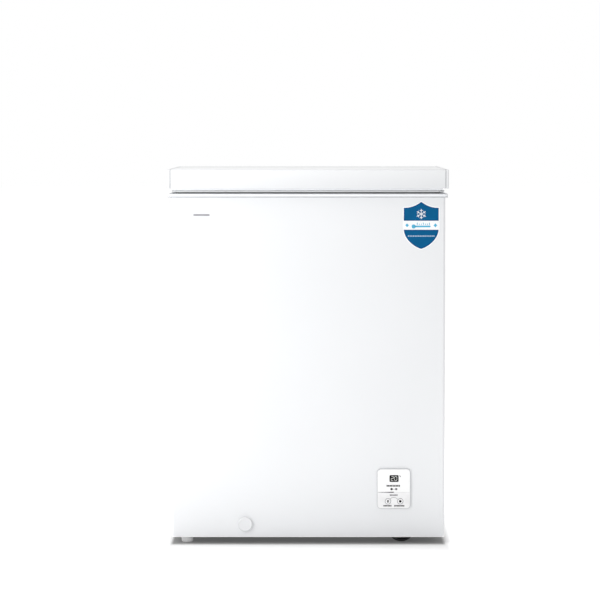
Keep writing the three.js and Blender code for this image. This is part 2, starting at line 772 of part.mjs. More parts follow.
const plugPlan = (inset) => {
  const out = -PLUG_GAP - inset;
  return roundedRect(-inner.x - out, inner.x + out, inner.front - out, inner.rear + out, TANK_CORNER);
};
const lidLiner = cut(
  union(
    upright(roundedRect(-304.5, 304.5, FRONT + 10, REAR - 10, 12), LID_BOTTOM - 3, LID_BOTTOM - GAP),
    upright(plugPlan(0), PLUG_BOTTOM, LID_BOTTOM - 1),
  ),
  upright(plugPlan(2), PLUG_BOTTOM + 2, HEIGHT),
);
const foamEnd = skinEnd - 12 - 3;
const lidFoam = union(
  crosswise(lidOutline(SHEET + GAP, LID_BOTTOM + SHEET + GAP), -foamEnd, foamEnd, 6),
  upright(plugPlan(2.4), PLUG_BOTTOM + 2 + GAP, LID_BOTTOM + 5),
);

// A magnetic seal: a broad base that clips to the liner, over a narrower tube that meets the rim.
function lidGasket() {
  const ring = (outset, width, z0, z1) => {
    const plan = (inset) =>
      roundedRect(-303 + inset, 303 - inset, FRONT + 13 + inset, REAR - 13 - inset, Math.max(14 - inset, 3));
    return cut(upright(plan(outset), z0, z1), upright(plan(outset + width), 0, HEIGHT));
  };
  const baseBottom = LID_BOTTOM - 7;
  return union(
    ring(0, 20, baseBottom, LID_BOTTOM - 3 - GAP),
    ring(6, 11, RIM_TOP + GAP, baseBottom + 1),
  );
}
place(lid, "lid_skin", lidSkin(), whiteSteel);
place(lid, "lid_end_cap_left", lidEndCap(-1), whitePlastic);
place(lid, "lid_end_cap_right", lidEndCap(1), whitePlastic);
place(lid, "lid_foam", lidFoam, foam);
place(lid, "lid_liner", lidLiner, whitePlastic);
place(lid, "lid_gasket", lidGasket(), softGrey);

// ---------------------------------------------------------------- basket
const basket = section("basket");
basket.position.set(BASKET_X, (inner.front + inner.rear) / 2, LEDGE_Z + GAP);
const hangSpan = (inner.rear - inner.front) / 2 + LEDGE - LIP_FACE - 1.5;
const BASKET_HALF = { x: BASKET_W / 2 - 5, y: hangSpan - 18 };
const BASKET_DEPTH = 205;
const BASKET_CORNER = 7;
const BASKET_WALL = 3;
const BASKET_RIM = 5;

function basketPlan(out) {
  const [x, y] = [BASKET_HALF.x + out, BASKET_HALF.y + out];
  return roundedRect(-x, x, -y, y, BASKET_CORNER + out);
}

// The wire basket's outline as thin walls hung by the two long ends, and a floor inside them.
function basketWalls() {
  const { x } = BASKET_HALF;
  return cut(
    union(
      upright(basketPlan(0), -BASKET_DEPTH, BASKET_RIM),
      upright(basketPlan(BASKET_RIM), 0, BASKET_RIM),
      block(-x + 25, x - 25, -hangSpan, hangSpan, 0, BASKET_RIM),
    ),
    upright(basketPlan(-BASKET_WALL), -HEIGHT, HEIGHT),
  );
}
const basketFloor = basketPlan(-BASKET_WALL - GAP);
const grip = block(-32, 32, -4, 4, 0, 4.5);
place(basket, "storage_basket", basketWalls(), basketCoat);
place(basket, "basket_floor", upright(basketFloor, -BASKET_DEPTH, BASKET_WALL - BASKET_DEPTH), basketCoat);
place(basket, "basket_grip_front", grip, greyPlastic, 0, -BASKET_HALF.y - 6, 5 + GAP);
place(basket, "basket_grip_rear", grip, greyPlastic, 0, BASKET_HALF.y + 6, 5 + GAP);

export default freezer;
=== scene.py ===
"""Looks of a small chest freezer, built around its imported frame.

Lengths inside the sub-assemblies are in millimetres in the frame's axes; a piece is brought to
metres when its mesh is made. The front faces -y, +z is up and +x is to the right of the front.
"""
import logging
import math
from dataclasses import dataclass, field
from enum import Enum
from typing import Iterable, Sequence

import bmesh
import bpy
from mathutils import Matrix, Vector


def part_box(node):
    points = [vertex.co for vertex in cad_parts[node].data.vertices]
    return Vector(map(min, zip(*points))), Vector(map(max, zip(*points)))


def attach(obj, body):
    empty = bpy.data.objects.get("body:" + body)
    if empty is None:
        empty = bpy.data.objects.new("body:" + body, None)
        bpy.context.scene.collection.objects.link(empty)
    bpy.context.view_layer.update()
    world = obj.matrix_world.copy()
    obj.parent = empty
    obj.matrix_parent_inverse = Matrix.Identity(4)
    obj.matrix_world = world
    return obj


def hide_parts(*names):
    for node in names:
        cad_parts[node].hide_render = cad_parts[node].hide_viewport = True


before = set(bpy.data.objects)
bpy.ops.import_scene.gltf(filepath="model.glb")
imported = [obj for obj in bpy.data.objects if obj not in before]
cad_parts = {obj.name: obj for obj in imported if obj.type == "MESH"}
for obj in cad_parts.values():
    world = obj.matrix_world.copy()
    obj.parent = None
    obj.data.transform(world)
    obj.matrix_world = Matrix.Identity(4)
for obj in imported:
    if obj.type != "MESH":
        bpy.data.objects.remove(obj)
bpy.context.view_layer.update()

LOG = logging.getLogger("chest_freezer")
MM = 0.001
SHARP_ANGLE = math.radians(35)  # sharper edges are shaded as edges

Vec2 = tuple[float, float]
Vec3 = tuple[float, float, float]
Colour = tuple[float, float, float]
Socket = bpy.types.NodeSocket


class Plane(Enum):
    """The plane that a flat outline is drawn in; a level is measured along the third axis."""

    PLAN = "xy"
    FRONT = "xz"
    SIDE = "yz"

    def lift(self, points: Iterable[Vec2], level: float) -> list[Vec3]:
        """Stands an outline at a level along the third axis."""
        if self is Plane.PLAN:
            return [(a, b, level) for a, b in points]
        if self is Plane.FRONT:
            return [(a, level, b) for a, b in points]
        return [(level, a, b) for a, b in points]


class Body(Enum):
    """The frame's moving bodies that pieces ride on."""

    CABINET = "cabinet"
    LID = "lid"
    BASKET = "basket"
    DRAIN_CAP = "drain_cap"
    DRAIN_PLUG = "drain_plug"
    BUTTON_LEFT = "button_left"
    BUTTON_RIGHT = "button_right"
    ROLLER_FRONT = "roller_front"
    ROLLER_REAR = "roller_rear"


# ------------------------------------------------------------------ outlines
@dataclass(frozen=True)
class Rect:
    """A rectangle with rounded corners, its corner radii given from low left, anticlockwise."""

    x0: float
    x1: float
    y0: float
    y1: float
    radii: tuple[float, ...] = (0.0,)

    def grown(self, by: float) -> "Rect":
        """The same rectangle moved outwards by a distance, corners and all."""
        radii = tuple(max(r + by, 0.0) for r in self.radii)
        return Rect(self.x0 - by, self.x1 + by, self.y0 - by, self.y1 + by, radii)

    def levels(self, base: float, *steps: Vec2) -> list[tuple["Rect", float]]:
        """This outline grown by the first value of each step, the second above a base level."""
        return [(self.grown(by), base + rise) for by, rise in steps]

    def points(self, steps: int = 8) -> list[Vec2]:
        """Draws the outline anticlockwise.

        Args:
            steps: Straight lines in each corner.

        Returns:
            The corner points, always 4 * (steps + 1) of them, so that rectangles can be skinned.
        """
        a, b, c, d = (self.radii * 4)[:4] if len(self.radii) == 1 else self.radii
        corners = (
            (self.x0 + a, self.y0 + a, a, 180),
            (self.x1 - b, self.y0 + b, b, 270),
            (self.x1 - c, self.y1 - c, c, 0),
            (self.x0 + d, self.y1 - d, d, 90),
        )
        drawn: list[Vec2] = []
        for cx, cy, radius, start in corners:
            for k in range(steps + 1):
                turn = math.radians(start + 90 * k / steps)
                drawn.append((cx + radius * math.cos(turn), cy + radius * math.sin(turn)))
        return drawn


def circle(radius: float, steps: int = 48, centre: Vec2 = (0.0, 0.0)) -> list[Vec2]:
    """Draws a circle anticlockwise."""
    turns = (2 * math.pi * k / steps for k in range(steps))
    return [(centre[0] + radius * math.cos(t), centre[1] + radius * math.sin(t)) for t in turns]


def round_over(radius: float, steps: int = 5) -> list[Vec2]:
    """Insets and heights of a rounded edge, from the upright side to the flat top.

    Args:
        radius: Radius of the edge.
        steps: Straight lines in it.

    Returns:
        (inset, height still to go) pairs, from (0, radius) to (radius, 0).
    """
    turns = (math.pi / 2 * k / steps for k in range(steps + 1))
    return [(radius * (1 - math.cos(t)), radius * (1 - math.sin(t))) for t in turns]


# ------------------------------------------------------------------ closed shapes
class Shape:
    """A closed surface under construction, in millimetres."""

    def __init__(self) -> None:
        """Starts with nothing in it."""
        self.mesh = bmesh.new()

    def skin(self, loops: Sequence[Sequence[Vec3]], ring: bool = False) -> "Shape":
        """Adds a surface through loops of the same number of points.

        Args:
            loops: The loops, in order.
            ring: Joins the last loop to the first; otherwise both ends are capped.

        Returns:
            This shape.
        """
        rows = [[self.mesh.verts.new(point) for point in loop] for loop in loops]
        pairs = list(zip(rows, rows[1:] + rows[:1])) if ring else list(zip(rows, rows[1:]))
        count = len(rows[0])
        for low, high in pairs:
            for i in range(count):
                j = (i + 1) % count
                self.mesh.faces.new((low[i], low[j], high[j], high[i]))
        if not ring:
            self.mesh.faces.new(rows[0])
            self.mesh.faces.new(rows[-1])
        return self

    def prism(self, outline: Sequence[Vec2], plane: Plane, low: float, high: float) -> "Shape":
        """Adds a straight prism between two levels."""
        return self.skin([plane.lift(outline, low), plane.lift(outline, high)])

    def block(self, x0: float, x1: float, y0: float, y1: float, z0: float, z1: float) -> "Shape":
        """Adds a box between two corners."""
        return self.prism([(x0, y0), (x1, y0), (x1, y1), (x0, y1)], Plane.PLAN, z0, z1)

    def slab(self, rect: Rect, plane: Plane, low: float, high: float, edge: float,
             both: bool = False, steps: int = 8) -> "Shape":
        """Adds a plate whose edge is rounded over at the high level.

        Args:
            rect: Outline of the plate.
            plane: Plane that the outline lies in.
            low: Level of the square edge.
            high: Level of the rounded edge; it may be below the low one.
            edge: Radius of the rounded edge.
            both: Rounds the low edge too.
            steps: Straight lines in each corner of the outline.

        Returns:
            This shape.
        """
        sign = 1 if high > low else -1
        over = round_over(edge)
        levels = [(0.0, low)]
        if both:
            levels = [(inset, low + sign * gap) for inset, gap in reversed(over)]
        levels += [(inset, high - sign * gap) for inset, gap in over]
        return self.skin([plane.lift(rect.grown(-inset).points(steps), z) for inset, z in levels])

    def turned(self, profile: Sequence[Vec2], plane: Plane, centre: Vec3, sign: int = 1,
               steps: int = 48, ring: bool = False) -> "Shape":
        """Adds a turned piece about the axis square to a plane.

        Args:
            profile: (radius, height) pairs; both ends lie on the axis, unless it is a ring.
            plane: Plane of the circles.
            centre: Where height 0 of the axis is.
            sign: Direction of height along the axis.
            steps: Sides of each circle.
            ring: Whether the profile closes on itself.

        Returns:
            This shape.
        """
        loops = []
        for radius, height in profile:
            hoop = plane.lift(circle(max(radius, 1e-3), steps), sign * height)
            loops.append([tuple(c + o for c, o in zip(point, centre)) for point in hoop])
        return self.skin(loops, ring)

    def tube(self, path: Sequence[Vec3], radius: float, sides: int = 12) -> "Shape":
        """Adds a round bar along a path with no sharp corners.

        Args:
            path: Points along its middle.
            radius: Its radius.
            sides: Straight lines round it.

        Returns:
            This shape.
        """
        spots = [Vector(point) for point in path]
        ahead = (spots[1] - spots[0]).normalized()
        across = ahead.orthogonal().normalized()
        loops = []
        for i, spot in enumerate(spots):
            way = (spots[min(i + 1, len(spots) - 1)] - spots[max(i - 1, 0)]).normalized()
            across = (across - way * across.dot(way)).normalized()
            up = way.cross(across)
            turns = [2 * math.pi * k / sides for k in range(sides)]
            loops.append([
                tuple(spot + across * (radius * math.cos(t)) + up * (radius * math.sin(t)))
                for t in turns
            ])
        return self.skin(loops)

    def add(self, other: "Shape") -> "Shape":
        """Adds another shape's surface beside this one's."""
        held = bpy.data.meshes.new("held")
        other.mesh.to_mesh(held)
        self.mesh.from_mesh(held)
        bpy.data.meshes.remove(held)
        return self

    def moved(self, x: float = 0.0, y: float = 0.0, z: float = 0.0) -> "Shape":
        """Moves everything in this shape."""
        bmesh.ops.translate(self.mesh, verts=self.mesh.verts, vec=(x, y, z))
        return self

    def turned_by(self, degrees: float, axis: Vec3, centre: Vec3 = (0.0, 0.0, 0.0)) -> "Shape":
        """Turns everything in this shape about an axis through a centre."""
        spin = Matrix.Rotation(math.radians(degrees), 3, Vector(axis))
        bmesh.ops.rotate(self.mesh, verts=self.mesh.verts, cent=centre, matrix=spin)
        return self

    def merged(self) -> "Shape":
        """Joins corners that coincide and turns every face outwards."""
        bmesh.ops.remove_doubles(self.mesh, verts=self.mesh.verts, dist=2e-4)
        bmesh.ops.dissolve_degenerate(self.mesh, edges=self.mesh.edges, dist=2e-4)
        bmesh.ops.recalc_face_normals(self.mesh, faces=self.mesh.faces)
        return self

    def as_mesh(self, name: str, scale: float = 1.0) -> bpy.types.Mesh:
        """Writes the shape into a new mesh.

        Args:
            name: Name of the mesh.
            scale: What every length is multiplied by.

        Returns:
            The mesh.
        """
        self.merged()
        made = bpy.data.meshes.new(name)
        self.mesh.to_mesh(made)
        if scale != 1.0:
            made.transform(Matrix.Scale(scale, 4))
        return made

    def combined(self, others: Sequence["Shape"], operation: str = "DIFFERENCE") -> "Shape":
        """Cuts other closed shapes from this one, or joins them to it.

        Args:
            others: The tools, one at a time.
            operation: DIFFERENCE or UNION.

        Returns:
            A new shape.
        """
        blank = placed("blank", self.as_mesh("blank"))
        tools = []
        for other in others:
            tool = placed("tool", other.as_mesh("tool"))
            step = blank.modifiers.new("step", "BOOLEAN")
            step.object, step.operation, step.solver = tool, operation, "EXACT"
            tools.append(tool)
        result = Shape()
        made = evaluated_mesh(blank)
        result.mesh.from_mesh(made)
        bpy.data.meshes.remove(made)
        for used in [blank, *tools]:
            bpy.data.objects.remove(used)
        return result


def placed(name: str, data: bpy.types.ID) -> bpy.types.Object:
    """Puts a new object with this data into the scene."""
    item = bpy.data.objects.new(name, data)
    bpy.context.scene.collection.objects.link(item)
    return item


def evaluated_mesh(item: bpy.types.Object) -> bpy.types.Mesh:
    """The mesh of an object with its modifiers applied."""
    graph = bpy.context.evaluated_depsgraph_get()
    graph.update()
    return bpy.data.meshes.new_from_object(
        item.evaluated_get(graph), preserve_all_data_layers=True, depsgraph=graph)


# ------------------------------------------------------------------ repeated pieces
class GrowthTree:
    """A Geometry Nodes tree with named sizes, run once and turned into a plain mesh."""

    def __init__(self, name: str, sizes: dict[str, float | int | Vec3], seed: bool = True) -> None:
        """Opens a tree.

        Args:
            name: Name of the node group.
            sizes: Named inputs with their values.
            seed: Whether the tree takes a mesh to start from.
        """
        self.group = bpy.data.node_groups.new(name, "GeometryNodeTree")
        self.values: dict[str, float | int | Vec3] = {}
        face = self.group.interface
        face.new_socket(name="Geometry", in_out="OUTPUT", socket_type="NodeSocketGeometry")
        if seed:
            face.new_socket(name="Geometry", in_out="INPUT", socket_type="NodeSocketGeometry")
        for label, value in sizes.items():
            kind = ("NodeSocketInt" if isinstance(value, int) else
                    "NodeSocketVector" if isinstance(value, tuple) else "NodeSocketFloat")
            socket = face.new_socket(name=label, in_out="INPUT", socket_type=kind)
            self.values[socket.identifier] = value
        self.entry = self.group.nodes.new("NodeGroupInput")

    def add(self, kind: str, links: dict[str, Socket] | None = None,
            **settings: object) -> bpy.types.Node:
        """Adds a node.

        Args:
            kind: Node type.
            links: Input names and the sockets that feed them.
            **settings: Properties of the node, set before its inputs.

        Returns:
            The node.
        """
        node = self.group.nodes.new(kind)
        for key, value in settings.items():
            setattr(node, key, value)
        for label, source in (links or {}).items():
            self.group.links.new(source, node.inputs[label])
        return node

    def size(self, label: str) -> Socket:
        """The socket of a named size."""
        return self.entry.outputs[label]

    def row(self) -> Socket:
        """Points in a straight line, by the sizes Count and Step."""
        line = self.add("GeometryNodeMeshLine", {"Count": self.size("Count"),
                                                 "Offset": self.size("Step")}, mode="OFFSET")
        return line.outputs[0]

    def bar(self, curve: Socket) -> Socket:
        """Round bars along curves, by the sizes Wire radius and Sides.

        Args:
            curve: The curves.

        Returns:
            The bars.
        """
        ring = self.add("GeometryNodeCurvePrimitiveCircle",
                        {"Radius": self.size("Wire radius"), "Resolution": self.size("Sides")})
        solid = self.add("GeometryNodeCurveToMesh",
                         {"Curve": curve, "Profile Curve": ring.outputs[0]})
        solid.inputs["Fill Caps"].default_value = True
        return solid.outputs[0]

    def grow(self, geometry: Socket, finish: "Finish",
             seed: bpy.types.Mesh | None = None) -> Shape:
        """Ends the tree, runs it and returns its result.

        Args:
            geometry: What the tree has made.
            finish: Finish of the result.
            seed: Mesh to start from.

        Returns:
            The result as a plain shape.
        """
        real = self.add("GeometryNodeRealizeInstances", {"Geometry": geometry})
        dressed = self.add("GeometryNodeSetMaterial", {"Geometry": real.outputs[0]})
        dressed.inputs["Material"].default_value = finish.material()
        self.add("NodeGroupOutput", {"Geometry": dressed.outputs[0]})
        host = placed("host", seed or bpy.data.meshes.new("host"))
        run = host.modifiers.new("growth", "NODES")
        run.node_group = self.group
        for identifier, value in self.values.items():
            run[identifier] = value
        made = evaluated_mesh(host)
        bpy.data.objects.remove(host)
        shape = Shape()
        shape.mesh.from_mesh(made)
        bpy.data.meshes.remove(made)
        return shape


def repeated(name: str, solid: Shape, count: int, finish: "Finish",
             step: Vec3 = (0.0, 0.0, 0.0), turn: Vec3 = (0.0, 0.0, 0.0)) -> Shape:
    """Repeats a solid along a straight line or about an axis through the origin.

    Args:
        name: Name of the tree.
        solid: The first one.
        count: How many there are.
        finish: Finish of the solids.
        step: From one to the next.
        turn: Turn from one to the next about x, y and z, in degrees.

    Returns:
        All of them as one shape.
    """
    radians = tuple(math.radians(angle) for angle in turn)
    tree = GrowthTree(name, {"Count": count, "Step": step, "Turn": radians})
    turns = tree.add("ShaderNodeVectorMath", operation="SCALE")
    tree.group.links.new(tree.size("Turn"), turns.inputs[0])
    tree.group.links.new(tree.add("GeometryNodeInputIndex").outputs[0], turns.inputs["Scale"])
    spin = tree.add("FunctionNodeEulerToRotation", {"Euler": turns.outputs[0]})
    copies = tree.add("GeometryNodeInstanceOnPoints", {
        "Points": tree.row(), "Instance": tree.size("Geometry"), "Rotation": spin.outputs[0]})
    return tree.grow(copies.outputs[0], finish, solid.as_mesh(name))


def placed_at(name: str, solid: Shape, spots: Sequence[Vec3], finish: "Finish") -> Shape:
    """Sets a copy of a solid at each spot.

    Args:
        name: Name of the tree.
        solid: One of them, about the origin.
        spots: Where they go.
        finish: Finish of the solids.

    Returns:
        All of them as one shape.
    """
    marks = bpy.data.meshes.new("marks")
    marks.from_pydata(list(spots), [], [])
    holder = placed("solid", solid.as_mesh(name))
    tree = GrowthTree(name, {})
    source = tree.add("GeometryNodeObjectInfo")
    source.inputs["Object"].default_value = holder
    copies = tree.add("GeometryNodeInstanceOnPoints", {
        "Points": tree.size("Geometry"), "Instance": source.outputs["Geometry"]})
    made = tree.grow(copies.outputs[0], finish, marks)
    bpy.data.objects.remove(holder)
    return made


def wires(name: str, path: Sequence[Vec3], closed: bool, radius: float, finish: "Finish",
          count: int = 1, step: Vec3 = (0.0, 0.0, 0.0), sides: int = 8) -> Shape:
    """Repeats a bent wire along a straight line.

    Args:
        name: Name of the tree.
        path: Middle line of the first wire.
        closed: Whether its ends meet.
        radius: Radius of the wire.
        finish: Finish of the wires.
        count: How many wires there are.
        step: From one to the next.
        sides: Sides of the wire's section.

    Returns:
        All of them as one shape.
    """
    line = bpy.data.meshes.new("line")
    last = len(path) if closed else len(path) - 1
    line.from_pydata(list(path), [(i, (i + 1) % len(path)) for i in range(last)], [])
    tree = GrowthTree(name, {"Wire radius": radius, "Count": count, "Step": step,
                             "Sides": sides})
    curve = tree.add("GeometryNodeMeshToCurve", {"Mesh": tree.size("Geometry")})
    copies = tree.add("GeometryNodeInstanceOnPoints",
                      {"Points": tree.row(), "Instance": curve.outputs[0]})
    real = tree.add("GeometryNodeRealizeInstances", {"Geometry": copies.outputs[0]})
    return tree.grow(tree.bar(real.outputs[0]), finish, line)


def coil(name: str, turns: float, radius: float, length: float, wire: float,
         finish: "Finish") -> Shape:
    """Winds a spring about the z axis, from z = 0 upwards.

    Args:
        name: Name of the tree.
        turns: Turns of the spring.
        radius: Radius of the wire's middle line.
        length: Height of the spring.
        wire: Radius of the wire.
        finish: Finish of the spring.

    Returns:
        The spring.
    """
    tree = GrowthTree(name, {"Turns": turns, "Radius": radius, "Length": length,
                             "Wire radius": wire, "Sides": 8}, seed=False)
    helix = tree.add("GeometryNodeCurveSpiral", {
        "Rotations": tree.size("Turns"), "Start Radius": tree.size("Radius"),
        "End Radius": tree.size("Radius"), "Height": tree.size("Length")})
    helix.inputs["Resolution"].default_value = 20
    return tree.grow(tree.bar(helix.outputs[0]), finish)


# ------------------------------------------------------------------ finishes
class Sheet:
    """One material's nodes around its principled shader."""

    def __init__(self, name: str, colour: Colour, roughness: float) -> None:
        """Starts a material with even values on the shader's own sockets.

        Args:
            name: Name of the material.
            colour: Its colour.
            roughness: Its roughness.
        """
        self.material = bpy.data.materials.new(name)
        self.material.use_nodes = True
        self.tree = self.material.node_tree
        self.shader = self.tree.nodes["Principled BSDF"]
        self.set({"Base Color": (*colour, 1.0), "Roughness": roughness})
        self.coords = self.tree.nodes.new("ShaderNodeTexCoord").outputs["Object"]

    def set(self, values: dict[str, object]) -> None:
        """Sets even values on the shader."""
        for socket, value in values.items():
            self.shader.inputs[socket].default_value = value

    def node(self, kind: str, feeds: dict[str | int, object],
             **settings: object) -> bpy.types.Node:
        """Adds a node and fills its inputs.

        Args:
            kind: Node type.
            feeds: Names or places of inputs, each with a socket or an even value.
            **settings: Properties of the node, set before its inputs.

        Returns:
            The node.
        """
        node = self.tree.nodes.new(kind)
        for key, value in settings.items():
            setattr(node, key, value)
        for label, feed in feeds.items():
            if isinstance(feed, Socket):
                self.tree.links.new(feed, node.inputs[label])
            else:
                node.inputs[label].default_value = feed
        return node

    def noise(self, scale: float, detail: float = 3.0, stretch: Vec3 = (1.0, 1.0, 1.0),
              rough: float = 0.5) -> Socket:
        """A soft random pattern with features about 1 / scale metres across."""
        spread = self.node("ShaderNodeMapping", {"Vector": self.coords, "Scale": stretch})
        return self.node("ShaderNodeTexNoise", {"Vector": spread.outputs[0], "Scale": scale,
                                                "Detail": detail, "Roughness": rough}
                         ).outputs["Fac"]

    def cells(self, scale: float, feature: str = "F1", output: str = "Distance") -> Socket:
        """A pattern of cells about 1 / scale metres across."""
        return self.node("ShaderNodeTexVoronoi", {"Vector": self.coords, "Scale": scale},
                         feature=feature).outputs[output]

    def ramp(self, source: Socket, stops: Sequence[tuple[float, Colour]]) -> Socket:
        """Colours a pattern by its value.

        Args:
            source: The pattern.
            stops: Values, each with its colour.

        Returns:
            The coloured pattern.
        """
        node = self.node("ShaderNodeValToRGB", {"Fac": source})
        marks = node.color_ramp.elements
        while len(marks) < len(stops):
            marks.new(0.5)
        for mark, (place, colour) in zip(marks, stops):
            mark.position, mark.color = place, (*colour, 1.0)
        return node.outputs["Color"]

    def ranged(self, source: Socket, low: float, high: float, first: float = 0.0,
               last: float = 1.0) -> Socket:
        """Maps a value's range low..high to first..last."""
        return self.node("ShaderNodeMapRange", {
            "Value": source, "From Min": low, "From Max": high, "To Min": first,
            "To Max": last}).outputs["Result"]

    def parts(self, vector: Socket) -> bpy.types.NodeOutputs:
        """The three parts of a vector."""
        return self.node("ShaderNodeSeparateXYZ", {0: vector}).outputs

    def joined(self, operation: str, *values: Socket | float) -> Socket:
        """Works out one number from others."""
        return self.node("ShaderNodeMath", dict(enumerate(values)), operation=operation).outputs[0]

    def blend(self, share: Socket, first: Socket, second: Colour) -> Socket:
        """Blends a coloured pattern into a plain colour."""
        node = self.node("ShaderNodeMix", {"Factor": share}, data_type="RGBA")
        under, over = [socket for socket in node.inputs if socket.type == "RGBA"]
        self.tree.links.new(first, under)
        over.default_value = (*second, 1.0)
        return node.outputs[2]

    def link(self, source: Socket, socket: str) -> None:
        """Feeds a pattern to the shader."""
        self.tree.links.new(source, self.shader.inputs[socket])

    def bump(self, *layers: tuple[Socket, float, float]) -> None:
        """Raises the surface by patterns, each with its height in metres and its strength."""
        feeds: dict[str | int, object] = {}
        for source, height, strength in layers:
            feeds.update({"Height": source, "Distance": height, "Strength": strength})
            feeds["Normal"] = self.node("ShaderNodeBump", feeds).outputs["Normal"]
        self.link(feeds["Normal"], "Normal")


@dataclass(frozen=True)
class PaintedShading:
    """Painted shading: a second tint, lighter or darker, that a finish takes on from one height to
    another, in metres, standing in for light and shade.
    """

    none_at: float
    full_at: float
    tint: Colour


@dataclass(frozen=True)
class Finish:
    """What every finish has: a name, a colour, a roughness and perhaps painted shading."""

    name: str
    colour: Colour
    roughness: float
    painted_shading: tuple[PaintedShading, ...] = field(default=(), kw_only=True)

    def near(self, by: float) -> Colour:
        """A colour a little lighter or darker than this one."""
        return tuple(min(max(c * (1 + by), 0.0), 1.0) for c in self.colour)

    @property
    def title(self) -> str:
        """The material's name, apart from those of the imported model."""
        return f"{self.name}_look"

    def material(self) -> bpy.types.Material:
        """The finish's material, made on first use."""
        known = bpy.data.materials.get(self.title)
        if known:
            return known
        sheet = Sheet(self.title, self.colour, self.roughness)
        self.draw(sheet)
        return sheet.material

    def draw(self, sheet: Sheet) -> None:
        """Draws the finish's patterns; every kind of finish has its own."""
        raise NotImplementedError

    def tinted(self, sheet: Sheet, pattern: Socket, *stops: tuple[float, float]) -> None:
        """Colours the surface by a pattern, with the finish's painted shading laid over it in turn.

        Args:
            sheet: The material's nodes.
            pattern: The pattern.
            *stops: Values of the pattern, each with how much lighter the colour is there.
        """
        tint = sheet.ramp(pattern, [(at, self.near(by)) for at, by in stops])
        for fade in self.painted_shading:
            share = sheet.ranged(sheet.parts(sheet.coords)["Z"], fade.none_at, fade.full_at)
            tint = sheet.blend(share, tint, fade.tint)
        sheet.link(tint, "Base Color")

    def worn(self, sheet: Sheet, pattern: Socket, less: float, more: float) -> None:
        """Varies the roughness by a pattern, from a little less to a little more."""
        rough = sheet.ranged(pattern, 0.3, 0.7, self.roughness - less, self.roughness + more)
        sheet.link(rough, "Roughness")


@dataclass(frozen=True)
class GlossPaint(Finish):
    """Baked powder coat on steel sheet: a clear gloss over faint orange peel."""

    coat: float = 0.6
    peel: float = 0.00003
    wave: float = 0.04

    def draw(self, sheet: Sheet) -> None:
        """Draws the mottle of the paint, its peel and the sheet's slow waves."""
        sheet.set({"Coat Weight": self.coat, "Coat Roughness": 0.12, "IOR": 1.5})
        self.tinted(sheet, sheet.noise(2.2, 4.0), (0.35, -0.012), (0.65, 0.008))
        self.worn(sheet, sheet.noise(35.0, 5.0), 0.04, 0.05)
        sheet.bump((sheet.noise(420.0, 2.0), self.peel, 0.25),
                   (sheet.noise(9.0, 2.0), 0.0006, self.wave))


@dataclass(frozen=True)
class MouldedPlastic(Finish):
    """Injection moulded plastic: a fine spark-eroded grain, with flow marks in the gloss."""

    grain: float = 1600.0
    depth: float = 0.00002

    def draw(self, sheet: Sheet) -> None:
        """Draws the flow marks and the grain."""
        sheet.set({"IOR": 1.49})
        self.tinted(sheet, sheet.noise(18.0, 4.0), (0.3, -0.03), (0.7, 0.02))
        self.worn(sheet, sheet.noise(60.0, 4.0, (1.0, 1.0, 0.3)), 0.05, 0.07)
        sheet.bump((sheet.cells(self.grain), self.depth, 0.3),
                   (sheet.noise(self.grain * 0.6, 2.0), self.depth, 0.3))


@dataclass(frozen=True)
class ZincSheet(Finish):
    """Hot-dip galvanised steel with its spangle and rolling marks."""

    spangle: float = 70.0

    def draw(self, sheet: Sheet) -> None:
        """Draws the crystals and the rolling marks."""
        sheet.set({"Metallic": 0.9})
        colours = sheet.cells(self.spangle, output="Color")
        crystal = sheet.node("ShaderNodeRGBToBW", {0: colours}).outputs[0]
        self.tinted(sheet, crystal, (0.1, -0.16), (0.5, 0.0), (0.9, 0.12))
        self.worn(sheet, crystal, 0.08, 0.1)
        sheet.bump((sheet.cells(self.spangle, "DISTANCE_TO_EDGE"), 0.00003, 0.15),
                   (sheet.noise(900.0, 2.0, (1.0, 1.0, 0.04)), 0.00002, 0.2))


@dataclass(frozen=True)
class DrawnMetal(Finish):
    """Bright metal with draw lines, stained a little by handling."""

    stain: float = 0.12

    def draw(self, sheet: Sheet) -> None:
        """Draws the stains and the draw lines."""
        sheet.set({"Metallic": 1.0})
        self.tinted(sheet, sheet.noise(45.0, 6.0), (0.35, -self.stain), (0.6, 0.0), (0.8, 0.1))
        self.worn(sheet, sheet.noise(110.0, 5.0), 0.06, 0.12)
        sheet.bump((sheet.noise(1500.0, 3.0, (1.0, 0.08, 0.08)), 0.00002, 0.3))


@dataclass(frozen=True)
class Enamel(Finish):
    """Stoved black enamel on a pressed steel pot, slightly orange-peeled and dusty."""

    def draw(self, sheet: Sheet) -> None:
        """Draws the dust and the peel."""
        sheet.set({"Coat Weight": 0.4, "Coat Roughness": 0.2})
        self.tinted(sheet, sheet.noise(70.0, 8.0, rough=0.7), (0.45, 0.0), (0.75, 1.2))
        self.worn(sheet, sheet.noise(50.0, 6.0), 0.08, 0.15)
        sheet.bump((sheet.noise(300.0, 3.0), 0.00008, 0.4))


@dataclass(frozen=True)
class SoftRubber(Finish):
    """Matt rubber or soft vinyl with a faint bloom."""

    bloom: float = 0.25

    def draw(self, sheet: Sheet) -> None:
        """Draws the bloom and the matt skin."""
        sheet.set({"Sheen Weight": 0.15})
        self.tinted(sheet, sheet.noise(90.0, 6.0), (0.4, 0.0), (0.75, self.bloom))
        self.worn(sheet, sheet.noise(200.0, 4.0), 0.08, 0.08)
        sheet.bump((sheet.noise(1300.0, 3.0), 0.00003, 0.35))


@dataclass(frozen=True)
class RigidFoam(Finish):
    """Sawn face of foamed insulation: fine open cells and a few larger voids."""

    def draw(self, sheet: Sheet) -> None:
        """Draws the cells and the voids."""
        self.tinted(sheet, sheet.cells(520.0), (0.0, -0.3), (0.35, 0.0), (0.8, 0.08))
        sheet.bump((sheet.cells(520.0), 0.0006, 0.7), (sheet.cells(60.0), 0.002, 0.2))


